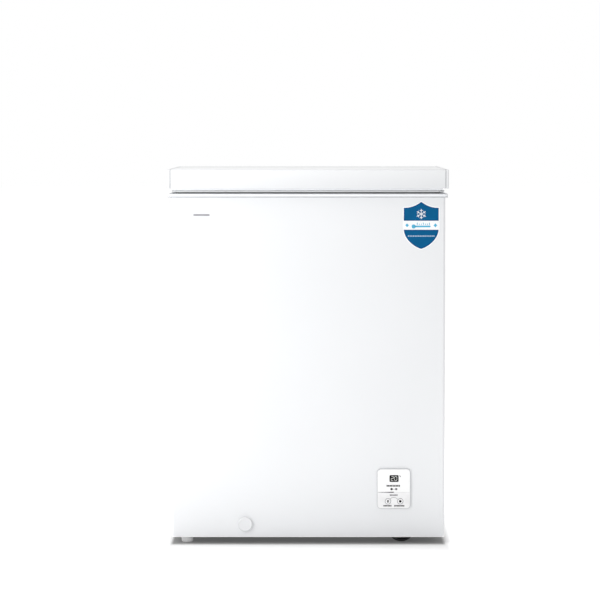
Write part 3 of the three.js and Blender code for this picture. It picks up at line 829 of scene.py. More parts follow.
@dataclass(frozen=True)
class SmokedWindow(Finish):
    """Deep glossy window over the display, with faint hairlines from wiping."""

    def draw(self, sheet: Sheet) -> None:
        """Draws the depth and the hairlines."""
        sheet.set({"Specular IOR Level": 0.2})
        self.tinted(sheet, sheet.noise(120.0, 3.0), (0.3, 0.0), (0.7, 0.5))
        self.worn(sheet, sheet.noise(700.0, 4.0, (0.05, 1.0, 1.0)), 0.0, 0.1)


@dataclass(frozen=True)
class PrintedInk(Finish):
    """Screen-printed or label ink: even colour with a faint screen and a satin clear over it."""

    def draw(self, sheet: Sheet) -> None:
        """Draws the unevenness of the ink and its screen."""
        sheet.set({"Specular IOR Level": 0.06})
        self.tinted(sheet, sheet.noise(55.0, 5.0), (0.3, -0.06), (0.7, 0.05))
        self.worn(sheet, sheet.noise(260.0, 3.0), 0.05, 0.06)
        sheet.bump((sheet.cells(2600.0), 0.00001, 0.2))


@dataclass(frozen=True)
class LitSegment(Finish):
    """A lit segment of the display, a little uneven in colour."""

    glow: float = 1.2

    def draw(self, sheet: Sheet) -> None:
        """Lights the segment and draws its unevenness."""
        sheet.set({"Emission Color": (*self.colour, 1.0), "Emission Strength": self.glow})
        self.tinted(sheet, sheet.noise(900.0, 2.0), (0.3, -0.15), (0.7, 0.0))


@dataclass(frozen=True)
class CircuitLaminate(Finish):
    """Green laminate with tracks under its lacquer."""

    def draw(self, sheet: Sheet) -> None:
        """Draws the tracks, which stand up a little."""
        turn = sheet.node("ShaderNodeMapping", {"Vector": sheet.coords,
                                                "Rotation": (math.pi / 2, 0.0, 0.0)})
        brick = sheet.node("ShaderNodeTexBrick", {
            "Vector": turn.outputs[0], "Scale": 160.0, "Mortar Size": 0.06,
            "Color1": (*self.colour, 1.0), "Color2": (*self.near(-0.25), 1.0),
            "Mortar": (*self.near(0.9), 1.0)})
        sheet.link(brick.outputs["Color"], "Base Color")
        sheet.bump((brick.outputs["Fac"], 0.00005, 0.4))


@dataclass(frozen=True)
class DippedWire(Finish):
    """White vinyl dip on steel wire: runs that swell the coat a little, and scuffs."""

    def draw(self, sheet: Sheet) -> None:
        """Draws the scuffs and the runs."""
        sheet.set({"Coat Weight": 0.3, "Coat Roughness": 0.15})
        self.tinted(sheet, sheet.noise(160.0, 8.0, rough=0.7), (0.3, -0.1), (0.45, 0.0))
        self.worn(sheet, sheet.noise(80.0, 4.0), 0.06, 0.1)
        sheet.bump((sheet.noise(220.0, 3.0), 0.0002, 0.3))


@dataclass(frozen=True)
class StudioFloor(Finish):
    """Pale matt floor with a painted shadow under the cabinet, glowing up to plain white away from
    it: painted light.
    """

    lift: float = 0.6
    side_fade: float = 0.02
    front_fade: float = 0.3
    shadow_albedo: float = 0.32
    glow: float = 0.075

    def draw(self, sheet: Sheet) -> None:
        """Paints the shadow on the footprint, and the glow that grows away from it."""
        sheet.set({"Specular IOR Level": 0.2, "Emission Color": (1.0, 1.0, 1.0, 1.0)})
        pale = sheet.ramp(sheet.noise(3.0, 3.0), [(0.3, self.near(-0.01)), (0.7, self.colour)])
        low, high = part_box("outer_shell")
        shift = sheet.node("ShaderNodeVectorMath", {0: sheet.coords, 1: (low + high) / 2},
                           operation="SUBTRACT")
        across, along, _ = [sheet.joined("ABSOLUTE", part)
                            for part in sheet.parts(shift.outputs[0])]
        half_x, half_y = (high.x - low.x) / 2, (high.y - low.y) / 2
        # Painted shadow: under the cabinet's footprint the floor is darkened to the shadow colour,
        # with a faint glow left in it.
        under = sheet.joined("MULTIPLY", sheet.ranged(across, half_x + 0.003, half_x - 0.004),
                             sheet.ranged(along, half_y + 0.022, half_y - 0.004))
        sheet.link(sheet.blend(under, pale, (self.shadow_albedo,) * 3), "Base Color")
        # Painted light: the floor glows more away from the footprint, within 2 cm at the sides and
        # over 30 cm in front, so that a short shadow is left there.
        glow_share = sheet.joined("MAXIMUM", sheet.ranged(across, half_x, half_x + self.side_fade),
                              sheet.ranged(along, half_y, half_y + self.front_fade))
        sheet.link(sheet.joined("MULTIPLY_ADD", glow_share, self.lift,
                                sheet.joined("MULTIPLY", under, self.glow)),
                   "Emission Strength")


# Painted highlight: the cabinet's paint turns lighter in its lowest few millimetres, along the
# bottom fold.
CABINET_PAINT = GlossPaint("cabinet_paint", (0.80, 0.81, 0.825), 0.33,
                           painted_shading=(PaintedShading(0.0178, 0.0168, (0.98, 0.98, 0.98)),))
# Painted shading of the lid: its top face keeps the light colour, a grey line runs just below it
# along the fold, and the sides are painted darker down to the lower edge.
LID_SHADING = (PaintedShading(0.84995, 0.8496, (0.68, 0.685, 0.70)),
             PaintedShading(0.8487, 0.8481, (0.83, 0.84, 0.85)), PaintedShading(0.844, 0.808, (0.745, 0.755, 0.77)))
LID_PAINT = GlossPaint("lid_paint", (0.95, 0.955, 0.96), 0.45, 0.1, painted_shading=LID_SHADING)
# The end caps take the same painted shading, a little darker.
CAP_PLASTIC = MouldedPlastic("end_cap_plastic", (0.90, 0.905, 0.91), 0.42, painted_shading=LID_SHADING[:1] + (
    PaintedShading(0.8487, 0.8481, (0.78, 0.79, 0.80)), PaintedShading(0.844, 0.808, (0.73, 0.74, 0.755))))
RIM_PLASTIC = MouldedPlastic("rim_plastic", (0.86, 0.875, 0.90), 0.36, 1400.0)
FOOT_PLASTIC = MouldedPlastic("foot_plastic", (0.95, 0.95, 0.95), 0.32)
WHITE_PLASTIC = MouldedPlastic("white_plastic", (0.80, 0.805, 0.82), 0.36)
PANEL_WHITE = MouldedPlastic("panel_white", (0.96, 0.96, 0.96), 0.3, 2200.0)
PANEL_GREY = PrintedInk("panel_grey", (0.89, 0.89, 0.895), 0.4)
# Painted shade: the panel's frame is coloured mid grey to show the shade round the panel's edge.
PANEL_FRAME_SHADE = MouldedPlastic("panel_frame", (0.64, 0.65, 0.67), 0.42)
GREY_PLASTIC = MouldedPlastic("grey_plastic", (0.34, 0.36, 0.38), 0.5)
BLACK_PLASTIC = MouldedPlastic("black_plastic", (0.022, 0.022, 0.024), 0.45, 1100.0, 0.00004)
LINER_PLASTIC = GlossPaint("liner_gloss", (0.84, 0.86, 0.88), 0.32, 0.2, 0.00002, 0.01)
# Painted shade: a grey strip under the rim's skirt stands in for the shadow where the rim overhangs
# the sheet.
RIM_SHADE_BEAD = SoftRubber("joint_bead", (0.46, 0.47, 0.49), 0.6, 0.1)
# Painted shade: a dark strip sunk in the joint between lid sheet and end cap stands in for the
# groove's shade.
CAP_JOINT_SHADE = SoftRubber("seam_bead", (0.27, 0.275, 0.29), 0.6, 0.1)
# Painted shade: below its bead the seal turns dark grey, standing in for the shade in the gap under
# the lid; the drain plug, far lower, is this grey all over.
SEAL_VINYL = SoftRubber("seal_vinyl", (0.92, 0.93, 0.94), 0.5, 0.04,
                        painted_shading=(PaintedShading(0.8002, 0.7990, (0.45, 0.455, 0.46)),))
BLACK_RUBBER = SoftRubber("black_rubber", (0.032, 0.032, 0.034), 0.75, 0.8)
ZINC = ZincSheet("zinc_sheet", (0.62, 0.64, 0.66), 0.38)
COPPER = DrawnMetal("copper_tube", (0.72, 0.36, 0.21), 0.3, 0.3)
ALUMINIUM = DrawnMetal("aluminium_tube", (0.78, 0.79, 0.80), 0.34)
SPRING_STEEL = DrawnMetal("spring_steel", (0.58, 0.59, 0.61), 0.26)
POT_ENAMEL = Enamel("pot_enamel", (0.015, 0.016, 0.018), 0.34)
FOAM = RigidFoam("foam", (0.82, 0.72, 0.45), 0.9)
DISPLAY = SmokedWindow("display_window_black", (0.006, 0.006, 0.008), 0.12)
SEGMENT = LitSegment("display_segment", (0.62, 0.63, 0.60), 0.4, 0.35)
DARK_INK = PrintedInk("dark_ink", (0.03, 0.025, 0.03), 0.5)
GREY_INK = PrintedInk("grey_ink", (0.15, 0.14, 0.16), 0.5)
PALE_INK = PrintedInk("pale_ink", (0.42, 0.52, 0.66), 0.5)
MARK_INK = PrintedInk("mark_ink", (0.36, 0.36, 0.38), 0.4)
BADGE_BLUE = PrintedInk("badge_blue", (0.003, 0.100, 0.245), 0.38)
BADGE_EDGE = PrintedInk("badge_edge", (0.002, 0.065, 0.21), 0.38)
BADGE_WHITE = PrintedInk("badge_white", (0.90, 0.91, 0.92), 0.38)
BADGE_CYAN = PrintedInk("badge_cyan", (0.10, 0.44, 0.66), 0.38)
BOARD = CircuitLaminate("circuit_laminate", (0.02, 0.15, 0.06), 0.35)
WIRE_COAT = DippedWire("wire_coat", (0.80, 0.80, 0.80), 0.34)
FLOOR = StudioFloor("studio_floor", (0.93, 0.93, 0.93), 0.8)


# ------------------------------------------------------------------ pieces
@dataclass(frozen=True)
class Extent:
    """A node's box at rest, in millimetres."""

    x0: float
    x1: float
    y0: float
    y1: float
    z0: float
    z1: float

    @classmethod
    def of(cls, node: str) -> "Extent":
        """Reads a node's box from the frame."""
        low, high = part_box(node)
        pairs = [value / MM for pair in zip(low, high) for value in pair]
        return cls(*pairs)

    @property
    def middle(self) -> Vec3:
        """The middle of the box."""
        return ((self.x0 + self.x1) / 2, (self.y0 + self.y1) / 2, (self.z0 + self.z1) / 2)

    @property
    def half(self) -> float:
        """Half the width, which is the radius of a round piece."""
        return (self.x1 - self.x0) / 2

    @property
    def high(self) -> float:
        """The height of the box."""
        return self.z1 - self.z0

    def rect(self, plane: Plane, *radii: float) -> Rect:
        """The box's outline in a plane, with rounded corners."""
        sides = {Plane.PLAN: (self.x0, self.x1, self.y0, self.y1),
                 Plane.FRONT: (self.x0, self.x1, self.z0, self.z1),
                 Plane.SIDE: (self.y0, self.y1, self.z0, self.z1)}
        return Rect(*sides[plane], radii)


def finished(name: str, shape: Shape, finish: Finish, slot: str, *replaces: str,
             body: Body = Body.CABINET) -> None:
    """Makes a piece of the object from a shape and hands it to the frame.

    Args:
        name: Name of the piece.
        shape: Its surface, in millimetres.
        finish: Its finish.
        slot: The record's slot for its finish; not used.
        *replaces: CAD nodes that it stands for.
        body: Body that it rides on.
    """
    made = shape.as_mesh(name, MM)
    made.materials.clear()
    made.materials.append(finish.material())
    made.shade_smooth()
    made.set_sharp_from_angle(angle=SHARP_ANGLE)
    piece = placed(name, made)
    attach(piece, body.value)
    if replaces:
        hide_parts(*replaces)
    LOG.info("%s: %d faces, on %s", name, len(made.polygons), body.value)


def dressed(finish: Finish, *nodes: str) -> None:
    """Gives carried-over nodes a finish.

    Args:
        finish: The finish.
        *nodes: Names of the nodes.
    """
    for name in nodes:
        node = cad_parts[name]
        node.data.materials.clear()
        node.data.materials.append(finish.material())
        LOG.info("%s: carried over in %s", name, finish.name)


def bent(corners: Sequence[Vec3], radius: float, steps: int = 6) -> list[Vec3]:
    """Rounds the corners of a path.

    Args:
        corners: Corner points of the path, both ends among them.
        radius: Radius of each bend.
        steps: Straight lines in each bend.

    Returns:
        The points of the rounded path.
    """
    spots = [Vector(point) for point in corners]
    path = [spots[0]]
    for before, spot, after in zip(spots, spots[1:], spots[2:]):
        back, ahead = (before - spot).normalized(), (after - spot).normalized()
        half = back.angle(ahead) / 2
        reach = radius / math.tan(half)
        start, end = spot + back * reach, spot + ahead * reach
        centre = spot + (back + ahead).normalized() * (radius / math.sin(half))
        axis = (start - centre).cross(end - centre).normalized()
        sweep = (start - centre).angle(end - centre)
        for k in range(steps + 1):
            spoke = Matrix.Rotation(sweep * k / steps, 3, axis) @ (start - centre)
            path.append(centre + spoke)
    path.append(spots[-1])
    return [tuple(point) for point in path]


def stacked(levels: Sequence[tuple[Rect, float]], plane: Plane, ring: bool = False,
            steps: int = 10) -> Shape:
    """Skins rectangles at their levels into one closed surface."""
    return Shape().skin([plane.lift(rect.points(steps), at) for rect, at in levels], ring)


def screws(name: str, spots: Sequence[Vec3], radius: float = 3.6,
           body: Body = Body.CABINET) -> None:
    """Sets pan-head screws with cross recesses, facing the back.

    Args:
        name: Name of the piece.
        spots: Where the heads sit.
        radius: Radius of a head.
        body: Body that they ride on.
    """
    high = radius * 0.55
    head = Shape().turned([(0, 0), (radius, 0), (radius, high * 0.35), (radius * 0.8, high * 0.85),
                           (radius * 0.4, high), (0, high)], Plane.FRONT, (0, 0, 0), 1, 20)
    arm, half = radius * 0.55, radius * 0.11
    slots = [Shape().prism([(-a, -b), (a, -b), (a, b), (-a, b)], Plane.FRONT, high * 0.45, high + 1)
             for a, b in ((arm, half), (half, arm))]
    heads = placed_at(name, head.combined(slots), spots, SPRING_STEEL)
    finished(name, heads, SPRING_STEEL, "spring_steel", body=body)


# ------------------------------------------------------------------ cabinet
@dataclass
class Cabinet:
    """The folded outer sheet, the rim, the tank inside it and the panels behind and below."""

    sheet: float = 1.0
    corner: float = 6.0
    fold: float = 1.8
    hem: float = 15.0
    tank: Rect = Rect(-256, 256, -219, 208, (28,))
    step_left: float = 65.0
    step_top: float = 280.0
    floor: float = 90.0
    ledge: float = 12.0
    ledge_top: float = 767.0
    fillet: float = 14.0
    wall: float = 1.2
    skirt: float = 8.5
    lip_face: float = 3.5

    def build(self) -> None:
        """Makes and dresses the whole cabinet."""
        self.skin()
        self.rim()
        self.liner()
        self.back()
        dressed(ZINC, "bottom_panel")
        dressed(FOAM, "foam_insulation")
        dressed(ALUMINIUM, "evaporator_coil", "condenser_coil")

    def skin(self) -> None:
        """The outer sheet: front and sides in one, folded in at the bottom and the back."""
        box = Extent.of("outer_shell")
        plan = box.rect(Plane.PLAN, self.corner, self.corner, 0.0, 0.0)
        hollow = plan.grown(-self.sheet)
        panel, grille = Extent.of("panel_bezel"), Extent.of("side_grille")
        spout = Extent.of("drain_spout")
        outer = Shape().slab(plan, Plane.PLAN, box.z1, box.z0, self.fold, steps=12)
        tools = [
            Shape().slab(hollow, Plane.PLAN, box.z1 + 50, box.z0 + self.sheet,
                         self.fold - self.sheet, steps=12),
            Shape().block(box.x0 + self.hem, box.x1 - self.hem, box.y0 + self.hem, box.y1 + 50,
                          box.z0 - 10, box.z0 + 5),
            Shape().block(box.x0 + 12, box.x1 - 12, 0, box.y1 + 50, -50, box.z1 + 60),
            Shape().block(panel.x0 + 3, panel.x1 - 3, box.y0 - 5, box.y0 + 5,
                          panel.z0 + 3, panel.z1 - 3),
            Shape().prism(circle(9, 32, (spout.middle[0], spout.middle[2])), Plane.FRONT,
                          box.y0 - 5, box.y0 + 5),
            Shape().block(box.x1 - 5, box.x1 + 5, grille.y0 + 8, grille.y1 - 8,
                          grille.z0 + 8, grille.z1 - 8),
        ]
        finished("cabinet_skin", outer.combined(tools), CABINET_PAINT, "cabinet_steel",
                 "outer_shell")

    def rim(self) -> None:
        """The moulded rim: a skirt over the sheet's top edge and a lip down into the tank."""
        box = Extent.of("top_collar")
        outer = box.rect(Plane.PLAN, 8.0, 8.0, 2.0, 2.0)
        mouth = self.tank.grown(self.ledge - self.lip_face)
        under = box.z1 - 4
        low = box.z1 - self.skirt
        inside = Rect(box.x0 + 5, box.x1 - 5, box.y0 + 5, box.y1 - 0.8, (6.0, 6.0, 0.2, 0.2))
        levels = outer.levels(low, (-3.1, 0), (-2.1, 0.3), (-1.2, 1), (-0.5, 2), (-0.1, 3.2),
                              (0, 4.4))
        levels += outer.levels(box.z1, (-0.1, -2.9), (-0.6, -1.6), (-1.4, -0.6), (-2.6, 0),
                               (-3.4, 0))
        levels += mouth.levels(box.z1, (1.6, 0), (0.5, -0.5), (0, -1.6))
        levels += mouth.levels(box.z0, (0, 0.5), (0.5, 0), (2, 0))
        levels += [(mouth.grown(2), under), (inside, under), (inside, low)]
        finished("rim_collar", stacked(levels, Plane.PLAN, ring=True), RIM_PLASTIC, "rim_plastic",
                 "top_collar")
        # A grey strip hugging the skirt's underside: painted shade under the rim.
        core = Rect(box.x0 + 4.5, box.x1 - 4.5, box.y0 + 4.5, box.y1 - 1.4, (6.0, 6.0, 0.2, 0.2))
        bead = outer.levels(low, (-0.9, -0.2), (-0.35, 0.2), (-0.25, 1.3), (-0.3, 2.4))
        bead += core.levels(low, (0, 2.6), (0, -0.2))
        finished("rim_bead", stacked(bead, Plane.PLAN, ring=True), RIM_SHADE_BEAD, "rim_plastic")

    def hollow(self, grow: float, top: float) -> list[Shape]:
        """The tank's inside.

        Args:
            grow: How far every wall is moved outwards.
            top: Level that the mouth reaches.

        Returns:
            The upper part, the well and the mouth.
        """
        well = Rect(self.tank.x0, self.step_left, self.tank.y0, self.tank.y1, self.tank.radii)
        return [
            Shape().slab(self.tank.grown(grow), Plane.PLAN, self.ledge_top + 1,
                         self.step_top - grow, self.fillet + grow),
            Shape().slab(well.grown(grow), Plane.PLAN, self.step_top + 25, self.floor - grow,
                         self.fillet + grow),
            Shape().slab(self.tank.grown(self.ledge + grow), Plane.PLAN, top,
                         self.ledge_top - grow, 2.0),
        ]

    def liner(self) -> None:
        """The vacuum-formed tank with its step, its ledge for the basket and its flange."""
        box = Extent.of("inner_liner")
        flange = box.rect(Plane.PLAN, 6.0)
        body, *rest = self.hollow(self.wall, box.z1)
        rest.append(Shape().prism(flange.points(), Plane.PLAN, box.z1 - self.wall, box.z1))
        plug = Extent.of("drain_plug")
        hole = Shape().prism(circle(9.2, 32, plug.middle[:2]), Plane.PLAN, 0, self.floor + 5)
        made = body.combined(rest, "UNION").combined([*self.hollow(0.0, box.z1 + 20), hole])
        finished("tank_liner", made, LINER_PLASTIC, "liner", "inner_liner")

    def back(self) -> None:
        """The back sheet with its stiffening beads, and the screws round its edge."""
        box, bay = Extent.of("back_panel"), Extent.of("rear_cover")
        outline = [(box.x0, box.z0), (bay.x0 - 2, box.z0), (bay.x0 - 2, bay.z1 + 2),
                   (box.x1, bay.z1 + 2), (box.x1, box.z1), (box.x0, box.z1)]
        sheet = Shape().prism(outline, Plane.FRONT, box.y0, box.y1)
        bead = Shape().slab(Rect(-246, -234, 280, 650, (6.0,)), Plane.FRONT, box.y1 - 0.4,
                            box.y1 + 1.5, 1.4)
        beads = repeated("back_beads", bead, 5, ZINC, (120.0, 0.0, 0.0))
        finished("back_sheet", sheet.add(beads), ZINC, "galvanised", "back_panel")
        xs = [box.x0 + 7, -103.0, 103.0, box.x1 - 7]
        spots = [(x, box.y1, box.z1 - 8) for x in xs]
        spots += [(x, box.y1, z) for x in (xs[0], xs[-1]) for z in (520.0, 270.0)]
        spots += [(x, box.y1, box.z0 + 8) for x in (xs[0], -103.0, 60.0)]
        screws("back_screws", spots)


# ------------------------------------------------------------------ front labels
def offset(outline: Sequence[Vec2], by: float) -> list[Vec2]:
    """Moves an anticlockwise outline outwards.

    Args:
        outline: The outline.
        by: How far it moves; less than 0 moves it inwards.

    Returns:
        The new outline.
    """
    moved = []
    for before, spot, after in zip(outline[-1:] + list(outline[:-1]), outline,
                                   list(outline[1:]) + list(outline[:1])):
        normals = []
        for a, b in ((before, spot), (spot, after)):
            way = Vector((b[0] - a[0], b[1] - a[1])).normalized()
            normals.append(Vector((way.y, -way.x)))
        mitre = (normals[0] + normals[1]).normalized()
        reach = by / max(mitre.dot(normals[0]), 0.4)
        moved.append((spot[0] + mitre.x * reach, spot[1] + mitre.y * reach))
    return moved


def sliced(outline: Sequence[Vec2], level: float, keep_above: bool) -> list[Vec2]:
    """Cuts an outline at a level.

    Args:
        outline: The outline.
        level: Where it is cut.
        keep_above: Whether the upper part is kept, rather than the lower one.

    Returns:
        The part that is kept.
    """
    kept: list[Vec2] = []
    for (x0, z0), (x1, z1) in zip(outline, list(outline[1:]) + list(outline[:1])):
        inside = (z0 >= level) if keep_above else (z0 <= level)
        ahead = (z1 >= level) if keep_above else (z1 <= level)
        if inside:
            kept.append((x0, z0))
        if inside != ahead:
            kept.append((x0 + (x1 - x0) * (level - z0) / (z1 - z0), level))
    return kept


@dataclass
class FrontLabels:
    """The blue shield label at the top right, with a plain frost star, and a plain grey bar."""

    half: float = 39.3
    top: float = 53.0
    shoulder: float = 39.5
    waist: float = -8.0
    point: float = -53.0
    band: Vec2 = (-10.0, 10.5)
    border: float = 2.3
    film: float = 0.16
    bar: Rect = Rect(-259, -222, 744.6, 749.0, (2.1,))

    def __post_init__(self) -> None:
        """Reads where the label and the cabinet's front are."""
        self.x, _, self.z = Extent.of("shield_badge").middle
        self.front = Extent.of("outer_shell").y0

    def film_of(self, outline: Sequence[Vec2]) -> Shape:
        """A film of ink about the label's middle, its back at level 0."""
        return Shape().prism(outline, Plane.FRONT, 0.0, -self.film)

    def outline(self) -> list[Vec2]:
        """The shield about its own middle, anticlockwise from its lower point."""
        side: list[Vec2] = []
        for k in range(13):
            t = k / 12
            side.append((self.half * (1 - (1 - t) ** 1.9), self.point + (self.waist - self.point)
                         * t ** 1.25))
        shoulder = []
        for k in range(1, 11):
            t = k / 10
            shoulder.append((self.half * (1 - t), self.shoulder + (self.top - self.shoulder)
                             * t ** 2.2))
        right = side + [(self.half, self.shoulder)] + shoulder
        return right + [(-x, z) for x, z in reversed(right[1:-1])]

    def layer(self, name: str, shape: Shape | Sequence[Vec2], depth: int, finish: Finish) -> None:
        """Lays one printed film on the cabinet's front.

        Args:
            name: Name of the piece.
            shape: Its films or its outline, about the label's middle.
            depth: How many films lie under it.
            finish: Its ink.
        """
        film = shape
        if not isinstance(shape, Shape):
            film = Shape().prism(shape, Plane.FRONT, 0.0, -self.film * 1.02)
        film.moved(self.x, self.front - 0.02 - depth * self.film, self.z)
        finished(name, film, finish, "badge_blue", *(["shield_badge"] if depth == 0 else []))

    def build(self) -> None:
        """Makes the label, film by film, and the grey bar."""
        shield = self.outline()
        inner = offset(shield, -1.7)
        self.layer("label_border", offset(shield, self.border), 0, BADGE_WHITE)
        low, high = self.band
        self.layer("label_top_edge", sliced(shield, high, True), 1, BADGE_EDGE)
        self.layer("label_base_edge", sliced(shield, low, False), 1, BADGE_EDGE)
        self.layer("label_top", sliced(inner, high + 1.7, True), 2, BADGE_BLUE)
        self.layer("label_base", sliced(inner, low - 1.7, False), 2, BADGE_BLUE)
        self.star()
        self.gauge()
        bar = Shape().slab(self.bar, Plane.FRONT, self.front, self.front - 0.7, 0.5)
        finished("front_bar", bar, MARK_INK, "grey_plastic")

    def star(self) -> None:
        """A six-armed frost star on the top field and a plain rule on the base field."""
        arm = self.film_of([(-0.75, 0.0), (0.75, 0.0), (0.75, 11.4), (-0.75, 11.4)])
        for side in (-1, 1):
            twig = self.film_of([(-0.6, 0.0), (0.6, 0.0), (0.6, 4.2), (-0.6, 4.2)])
            arm.add(twig.turned_by(side * 50, (0, 1, 0)).moved(z=6.2))
        star = repeated("frost_star", arm, 6, BADGE_WHITE, turn=(0.0, 60.0, 0.0))
        self.layer("label_star", star.moved(z=25.6), 3, BADGE_WHITE)
        dash = self.film_of(Rect(-30, -27.4, -25.6, -22.6, (0.5,)).points(3))
        rule = repeated("label_rule", dash, 16, PALE_INK, (3.83, 0.0, 0.0))
        self.layer("label_rule", rule, 3, PALE_INK)

    def gauge(self) -> None:
        """A plain thermometer lying on the white band, between two diamonds."""
        outlines = [[(x, -4.4), (x + 4.2, 0), (x, 4.4), (x - 4.2, 0)] for x in (-32.0, 32.0)]
        outlines += [circle(4.6, 28, (-17.0, -2.4)), Rect(-14, 21, -4.2, -0.6, (1.75,)).points(6)]
        for k in range(7):
            x, tall = 4.6 * k - 9, 5.4 if k % 3 == 0 else 3.2
            outlines.append(Rect(x - 0.75, x + 0.75, 0.8, 0.8 + tall, (0.5,)).points(3))
        marks = Shape()
        for outline in outlines:
            marks.add(self.film_of(outline))
        self.layer("label_gauge", marks, 1, BADGE_CYAN)


# ------------------------------------------------------------------ lid
@dataclass
class Lid:
    """The lid: folded sheet, two end caps, the moulded liner with its plug, and the seal."""

    sheet: float = 1.0
    edge: float = 5.0
    lower_edge: float = 1.6
    lip: float = 14.0
    joint: float = 2.0
    strip_front: float = 273.5
    tank_gap: float = 10.0
    tank: Rect = Rect(-256, 256, -219, 208, (28,))

    def build(self) -> None:
        """Makes and dresses the whole lid."""
        self.skin()
        self.caps()
        self.liner()
        self.seal()
        dressed(FOAM, "lid_foam")

    def side(self, box: Extent) -> Rect:
        """The lid seen from the side, with its folded edges."""
        return box.rect(Plane.SIDE, self.lower_edge, self.lower_edge, self.edge, self.edge)

    def skin(self) -> None:
        """The sheet, folded down all round and turned in under the lid."""
        box = Extent.of("lid_skin")
        outline = self.side(box)
        far = box.x1 - 0.5
        ends = [(-self.joint, -far), (-0.3, 0.4 - far), (0, self.joint - far)]
        ends += [(by, -at) for by, at in reversed(ends)]
        outer = stacked(outline.levels(0, *ends), Plane.SIDE)
        tools = [
            Shape().prism(outline.grown(-self.sheet).points(10), Plane.SIDE, box.x0 - 9,
                          box.x1 + 9),
            Shape().block(box.x0 - 9, box.x1 + 9, box.y0 + self.lip, box.y1 - self.lip,
                          box.z0 - 5, box.z0 + 5),
        ]
        finished("lid_sheet", outer.combined(tools), LID_PAINT, "lid_steel", "lid_skin",
                 body=Body.LID)

    def caps(self) -> None:
        """The end caps: plates with rounded outer edges."""
        for side, sign in (("left", -1), ("right", 1)):
            node = f"lid_end_cap_{side}"
            box = Extent.of(node)
            outer = max(abs(box.x0), abs(box.x1))
            seat = Extent.of("lid_skin").x1 + 0.3
            edge = self.side(box)
            levels = [(self.joint, 0.0), (0.3, 0.4), (0.0, self.joint)]
            levels += [(inset, outer - seat - gap) for inset, gap in round_over(2.2)]
            cap = stacked([(edge.grown(-inset), sign * (seat + at)) for inset, at in levels],
                          Plane.SIDE)
            rib = edge.grown(-2.4).points(10)
            cap.prism(rib, Plane.SIDE, sign * (seat - 9), sign * (seat - 0.1))
            # A dark strip in the joint: painted shade of the groove between cap and sheet.
            bead = Shape().prism(edge.grown(-0.9).points(10), Plane.SIDE, sign * (seat - 1.1),
                                 sign * (seat + 0.9))
            finished(f"lid_joint_{side}", bead, CAP_JOINT_SHADE, "white_plastic", body=Body.LID)
            finished(f"lid_cap_{side}", cap, CAP_PLASTIC, "white_plastic", node, body=Body.LID)

    def liner(self) -> None:
        """The inner moulding: a flange under the sheet and a shallow plug into the tank."""
        box = Extent.of("lid_liner")
        flange = Rect(box.x0, box.x1, -self.strip_front, box.y1, (6.0,))
        plug = self.tank.grown(-self.tank_gap)
        plug = Rect(plug.x0, plug.x1, plug.y0, plug.y1, (28.0,))
        low = box.z0
        levels = plug.levels(low, (-42, 1.5), (-38, 1.4), (-35, 0.2), (-32, 0), (-6, 0),
                             (-2.4, 0.8), (-0.6, 2.8), (0, 5.5))
        levels += plug.levels(box.z1, (0, -6.5), (0.9, -4.0), (3.2, -2.7))
        levels += flange.levels(box.z1, (-0.6, -2.7), (0, -2.1), (0, -0.4), (-0.4, 0))
        levels += [(plug.grown(-1.9), box.z1), (plug.grown(-1.9), low + 2.1)]
        finished("lid_inner", stacked(levels, Plane.PLAN), LINER_PLASTIC, "liner", "lid_liner",
                 body=Body.LID)

    def seal(self) -> None:
        """The magnetic seal: a clipped base over a soft hollow tube."""
        box = Extent.of("lid_gasket")
        rect = box.rect(Plane.PLAN, 14.0)
        profile = [(0.6, 7.4), (0.0, 7.0), (-1.6, 6.8), (-4.8, 6.4), (-6.2, 5.9), (-6.6, 5.2),
                   (-6.2, 4.5), (-4.8, 4.1), (1.0, 3.8), (5.0, 3.5), (5.4, 2.2), (5.9, 0.7),
                   (7.2, 0.0), (15.8, 0.0), (17.1, 0.7), (17.6, 2.2), (18.0, 3.5),
                   (19.2, 3.7), (20.0, 4.6), (20.0, 6.6), (19.1, 7.4)]
        levels = [(rect.grown(-inset), box.z0 + height) for inset, height in profile]
        finished("lid_seal", stacked(levels, Plane.PLAN, ring=True), SEAL_VINYL, "gasket",
                 "lid_gasket", body=Body.LID)


